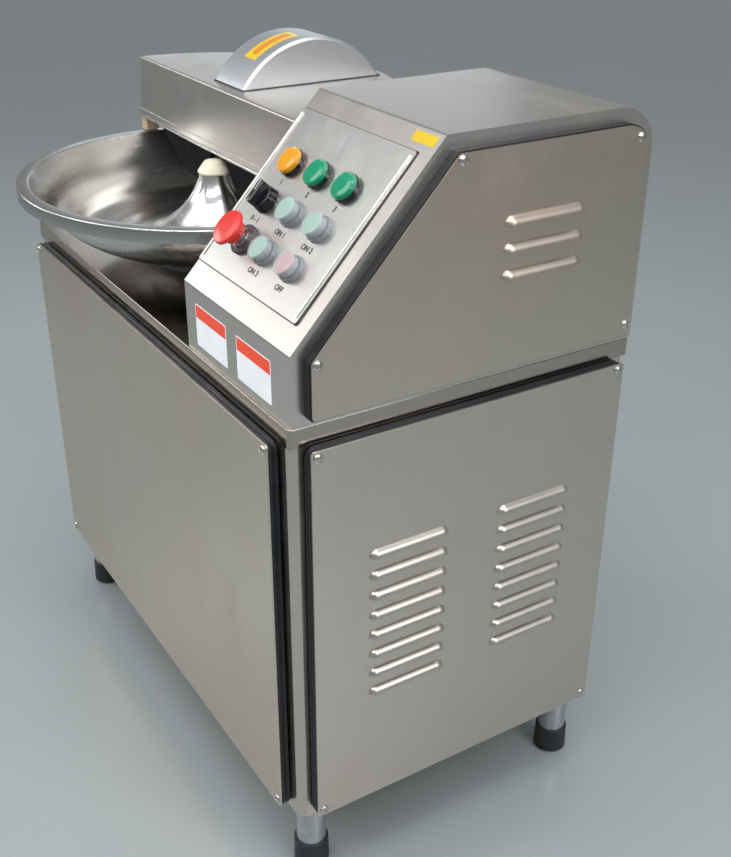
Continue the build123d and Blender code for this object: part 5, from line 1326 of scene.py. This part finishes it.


# ---- patches, the hood's bead with its painted shadow, and the cover's hem -------------
@dataclass
class Patches:
    """Plain coloured patches: two on the housing's front, one on its slope, one on the hood."""

    slope: ControlSlope
    size: tuple[float, float] = (0.076, 0.049)
    centres: tuple[tuple[float, float], ...] = ((0.0635, 0.035), (0.1635, 0.034))
    corner: float = 0.0015
    band: float = 0.3
    thickness: float = 0.00015
    tag_size: tuple[float, float] = (0.038, 0.0115)
    tag_place: tuple[float, float] = (0.214, 0.2165)
    strip: tuple[float, float] = (0.033, 0.064)
    strip_angles: tuple[float, float] = (94.0, 128.0)
    strip_steps: int = 28
    margin: float = 0.0012
    tag_corner: float = 0.0005
    band_inset: float = 0.009
    band_angles: tuple[float, float] = (3.0, 4.0)
    hood_radius: float = 0.119

    def front_patch(self, number: int, across: float, up: float) -> None:
        """Makes a white patch with a red band on the housing's front.

        Args:
            number: Its number, for its name.
            across: Its middle from the housing's left side.
            up: Its middle above the deck.
        """
        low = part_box("pod_shell")[0]
        at = Matrix.Translation((low.x + across, low.y, low.z + up)) @ Matrix.Rotation(math.radians(90), 4, "X")
        width, height = self.size
        white = Piece(f"front_patch_{number}", "ivory_plastic", PATCH_WHITE)
        white.slab(rounded_box(width, height, self.corner), -SINK, self.thickness, at)
        white.place()
        tall = height * self.band
        red = Piece(f"front_patch_{number}_band", "red_plastic", PATCH_RED)
        rise = Matrix.Translation((0, (height - tall) / 2 - self.margin, 0))
        red.slab(rounded_box(width - 2 * self.margin, tall, self.corner / 2), self.thickness / 2,
                 self.thickness + SINK, at @ rise)
        red.place()

    def hood_strip(self, name: str, finish: Finish, start: float, end: float, first: float, last: float,
                   lift: float) -> None:
        """Makes a strip bent round the hood's top.

        Args:
            name: Its name.
            finish: Its finish.
            start: Its left side from the hood's left side.
            end: Its right side.
            first: Angle of its rear end in degrees, where 90 is the hood's top and 180 its front.
            last: Angle of its front end.
            lift: Height of its face above the hood.
        """
        low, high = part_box("lid_dome")
        centre = Vector((low.x, (low.y + high.y) / 2, high.z - self.hood_radius))
        piece = Piece(name, "yellow_lens", finish, "lid")
        rows = []
        for step in range(self.strip_steps + 1):
            angle = math.radians(first + (last - first) * step / self.strip_steps)
            row = []
            for across in (start, end):
                for radius in (self.hood_radius - SINK, self.hood_radius + lift):
                    spoke = Vector((across, radius * math.cos(angle), radius * math.sin(angle)))
                    row.append(piece.mesh.verts.new(centre + spoke))
            rows.append(row)
        for back, front in zip(rows, rows[1:]):
            for a, b in ((0, 1), (1, 3), (3, 2), (2, 0)):
                piece.mesh.faces.new((back[a], back[b], front[b], front[a]))
        for row in (rows[0], rows[-1]):
            piece.mesh.faces.new((row[0], row[1], row[3], row[2]))
        piece.place()

    def build(self) -> None:
        """Makes every patch."""
        for number, (across, up) in enumerate(self.centres, 1):
            self.front_patch(number, across, up)
        tag = Piece("slope_tag", "yellow_lens", PATCH_YELLOW)
        width, height = self.tag_size
        at = self.slope.at(*self.tag_place, -self.slope.thickness)
        tag.slab(rounded_box(width, height, self.tag_corner), -SINK, self.thickness, at)
        tag.place()
        first, last = self.strip_angles
        start, end = self.strip
        self.hood_strip("hood_strip", PATCH_YELLOW, start, end, first, last, self.thickness)
        self.hood_strip("hood_strip_band", PATCH_ORANGE, start + self.band_inset, end - self.band_inset,
                        first + self.band_angles[0], last - self.band_angles[1], self.thickness + SINK)


@dataclass
class HoodBeadAndShadow:
    """Dark sealing bead round the foot of the knife hood, which also stands in for the shadow gap there: partly
    painted shadow.
    """

    width: float = 0.0022
    height: float = 0.0014
    lap: float = 0.0005
    corner: float = 0.004

    def build(self) -> None:
        """Makes the bead and its painted shadow."""
        low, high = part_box("lid_dome")
        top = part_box("lid_cover")[1].z
        middle = Vector(((low.x + high.x) / 2, (low.y + high.y) / 2, top))
        path = [middle + Vector((x, y, 0)) for x, y in rounded_box(high.x - low.x, high.y - low.y, self.corner)]
        section = [(-self.lap, -2 * SINK), (self.width, -2 * SINK)]
        section += [(self.width - self.height * (1 - math.cos(a)), self.height * math.sin(a))
                    for a in (0.3, 0.7, 1.1, 1.5)] + [(-self.lap, self.height)]
        # Near-black bead: partly a real sealing bead, partly painted shadow under the hood's side.
        bead = Piece("hood_bead_and_painted_shadow", "black_rubber", SEALANT_AND_SHADOW, "lid")
        bead.loop(path, section, Vector((0, 0, 1)))
        bead.place()


@dataclass
class CoverHem:
    """Bright rolled edge along the foot of the cover's front."""

    radius: float = 0.0026
    proud: float = 0.0016
    inset: float = 0.003
    steps: int = 10

    def build(self) -> None:
        """Makes the rolled edge."""
        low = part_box("lid_cover")[0]
        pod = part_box("pod_shell")[0].x
        along = Matrix(((0, 0, -1, 0), (-1, 0, 0, low.y), (0, 1, 0, low.z + self.radius), (0, 0, 0, 1)))
        curl = arc((self.proud - self.radius, 0.0), self.radius, -90.0, 90.0, self.steps)
        hem = Piece("cover_hem", "polished_steel", BRIGHT_STEEL, "lid")
        hem.slab(curl, -(pod - self.inset), -(low.x + self.inset), along)
        hem.place()


# ---- light, floor and camera -----------------------------------------------------------
@dataclass(frozen=True)
class SoftLight:
    """A soft rectangular light: its middle, what it points at, its two sides and its power in watts."""

    name: str
    place: Point
    target: Point
    size: tuple[float, float]
    power: float
    colour: Colour = (1.0, 1.0, 1.0)

    def hang(self) -> None:
        """Adds the light to the scene."""
        light = bpy.data.lights.new(self.name, "AREA")
        light.shape = "RECTANGLE"
        light.size, light.size_y = self.size
        light.energy = self.power
        light.color = self.colour
        holder = bpy.data.objects.new(self.name, light)
        holder.location = self.place
        holder.rotation_euler = (Vector(self.target) - Vector(self.place)).to_track_quat("-Z", "Y").to_euler()
        bpy.context.scene.collection.objects.link(holder)


LIGHTS = (
    SoftLight("key", (-1.2, -1.9, 2.6), (0, 0, 0.5), (2.0, 1.4), 22.0),
    SoftLight("slope", (-1.75, -1.3, 1.3), (0.25, -0.15, 0.75), (1.0, 0.4), 6.0),
    SoftLight("side", (2.6, 0.6, 2.0), (0, 0, 0.4), (1.6, 1.6), 28.0, (0.95, 0.98, 1.0)),
    SoftLight("rear", (-2.8, 1.5, 1.4), (0, 0.1, 0.92), (1.8, 0.55), 3.2, (0.82, 0.91, 1.0)),
    SoftLight("top", (0.0, 0.6, 3.0), (0, 0, 0.6), (2.4, 1.6), 14.0),
    SoftLight("strip_low", (1.15, -1.15, 2.2), (-0.13, 0, 0.75), (2.4, 0.08), 15.0),
    SoftLight("strip_high", (0.5, -0.6, 3.0), (-0.13, 0, 0.75), (2.6, 0.1), 22.0),
)


@dataclass
class Studio:
    """The pale floor, the soft lights and the camera."""

    eye: Point = (1.26906, -0.65337, 1.16154)
    right: Point = (0.5272108, 0.84972569, 0.00387748)
    up: Point = (-0.40044342, 0.24442455, 0.88312044)
    forward: Point = (-0.74946237, 0.46714334, -0.46913032)
    lens: float = 48.75
    sensor: float = 36.0
    floor_reach: float = 18.0
    low_sky: Colour = (0.55, 0.56, 0.56)
    high_sky: Colour = (0.8, 0.88, 0.98)
    sky_span: tuple[float, float] = (0.35, 0.95)
    sky_strength: float = 0.5

    def floor(self) -> None:
        """Makes the floor."""
        reach = self.floor_reach
        mesh = bpy.data.meshes.new("floor")
        mesh.from_pydata([(-reach, -reach, 0), (reach, -reach, 0), (reach, reach, 0), (-reach, reach, 0)], [],
                         [(0, 1, 2, 3)])
        floor = bpy.data.objects.new("floor", mesh)
        bpy.context.scene.collection.objects.link(floor)
        mesh.materials.append(ResinFloor("resin_floor").material())
        floor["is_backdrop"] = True

    def sky(self) -> None:
        """Sets the even light of the room."""
        world = bpy.data.worlds.new("room")
        bpy.context.scene.world = world
        graph = Graph(world)
        height = graph.node("ShaderNodeTexCoord", {}, {}, "Generated").axis("Z")
        stops = list(zip(self.sky_span, (self.low_sky, self.high_sky)))
        colour = graph.node("ShaderNodeValToRGB", {"stops": stops}, {"Fac": height}, "Color")
        light = graph.node("ShaderNodeBackground", {}, {"Color": colour, "Strength": self.sky_strength})
        graph.show(light, "ShaderNodeOutputWorld")

    def camera(self) -> None:
        """Sets the camera."""
        data = bpy.data.cameras.new("camera")
        data.lens = self.lens
        data.sensor_width = self.sensor
        camera = bpy.data.objects.new("camera", data)
        rows = [(*axis, 0) for axis in zip(self.right, self.up, tuple(-c for c in self.forward))]
        turn = Matrix((rows[0], rows[1], rows[2], (0, 0, 0, 1)))
        camera.matrix_world = Matrix.Translation(self.eye) @ turn
        bpy.context.scene.collection.objects.link(camera)
        bpy.context.scene.camera = camera

    def build(self) -> None:
        """Sets up the floor, lights and camera."""
        self.floor()
        self.sky()
        for light in LIGHTS:
            light.hang()
        bpy.context.scene.view_settings.view_transform = "Standard"
        self.camera()


def main() -> None:
    """Builds and dresses the machine and its studio."""
    logging.basicConfig(level=logging.INFO, format="%(message)s")
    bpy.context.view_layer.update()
    dress_nodes()
    Bowl().build()
    slope = ControlSlope()
    for assembly in (Lamps(slope), PushButtons(slope), Selector(slope), EmergencyStop(slope), PlatePaintedShadow(slope),
                     PlateMarks(slope), Screws(), Seals(), Patches(slope), HoodBeadAndShadow(), CoverHem()):
        assembly.build()
    Studio().build()


if __name__ == "__main__":
    main()
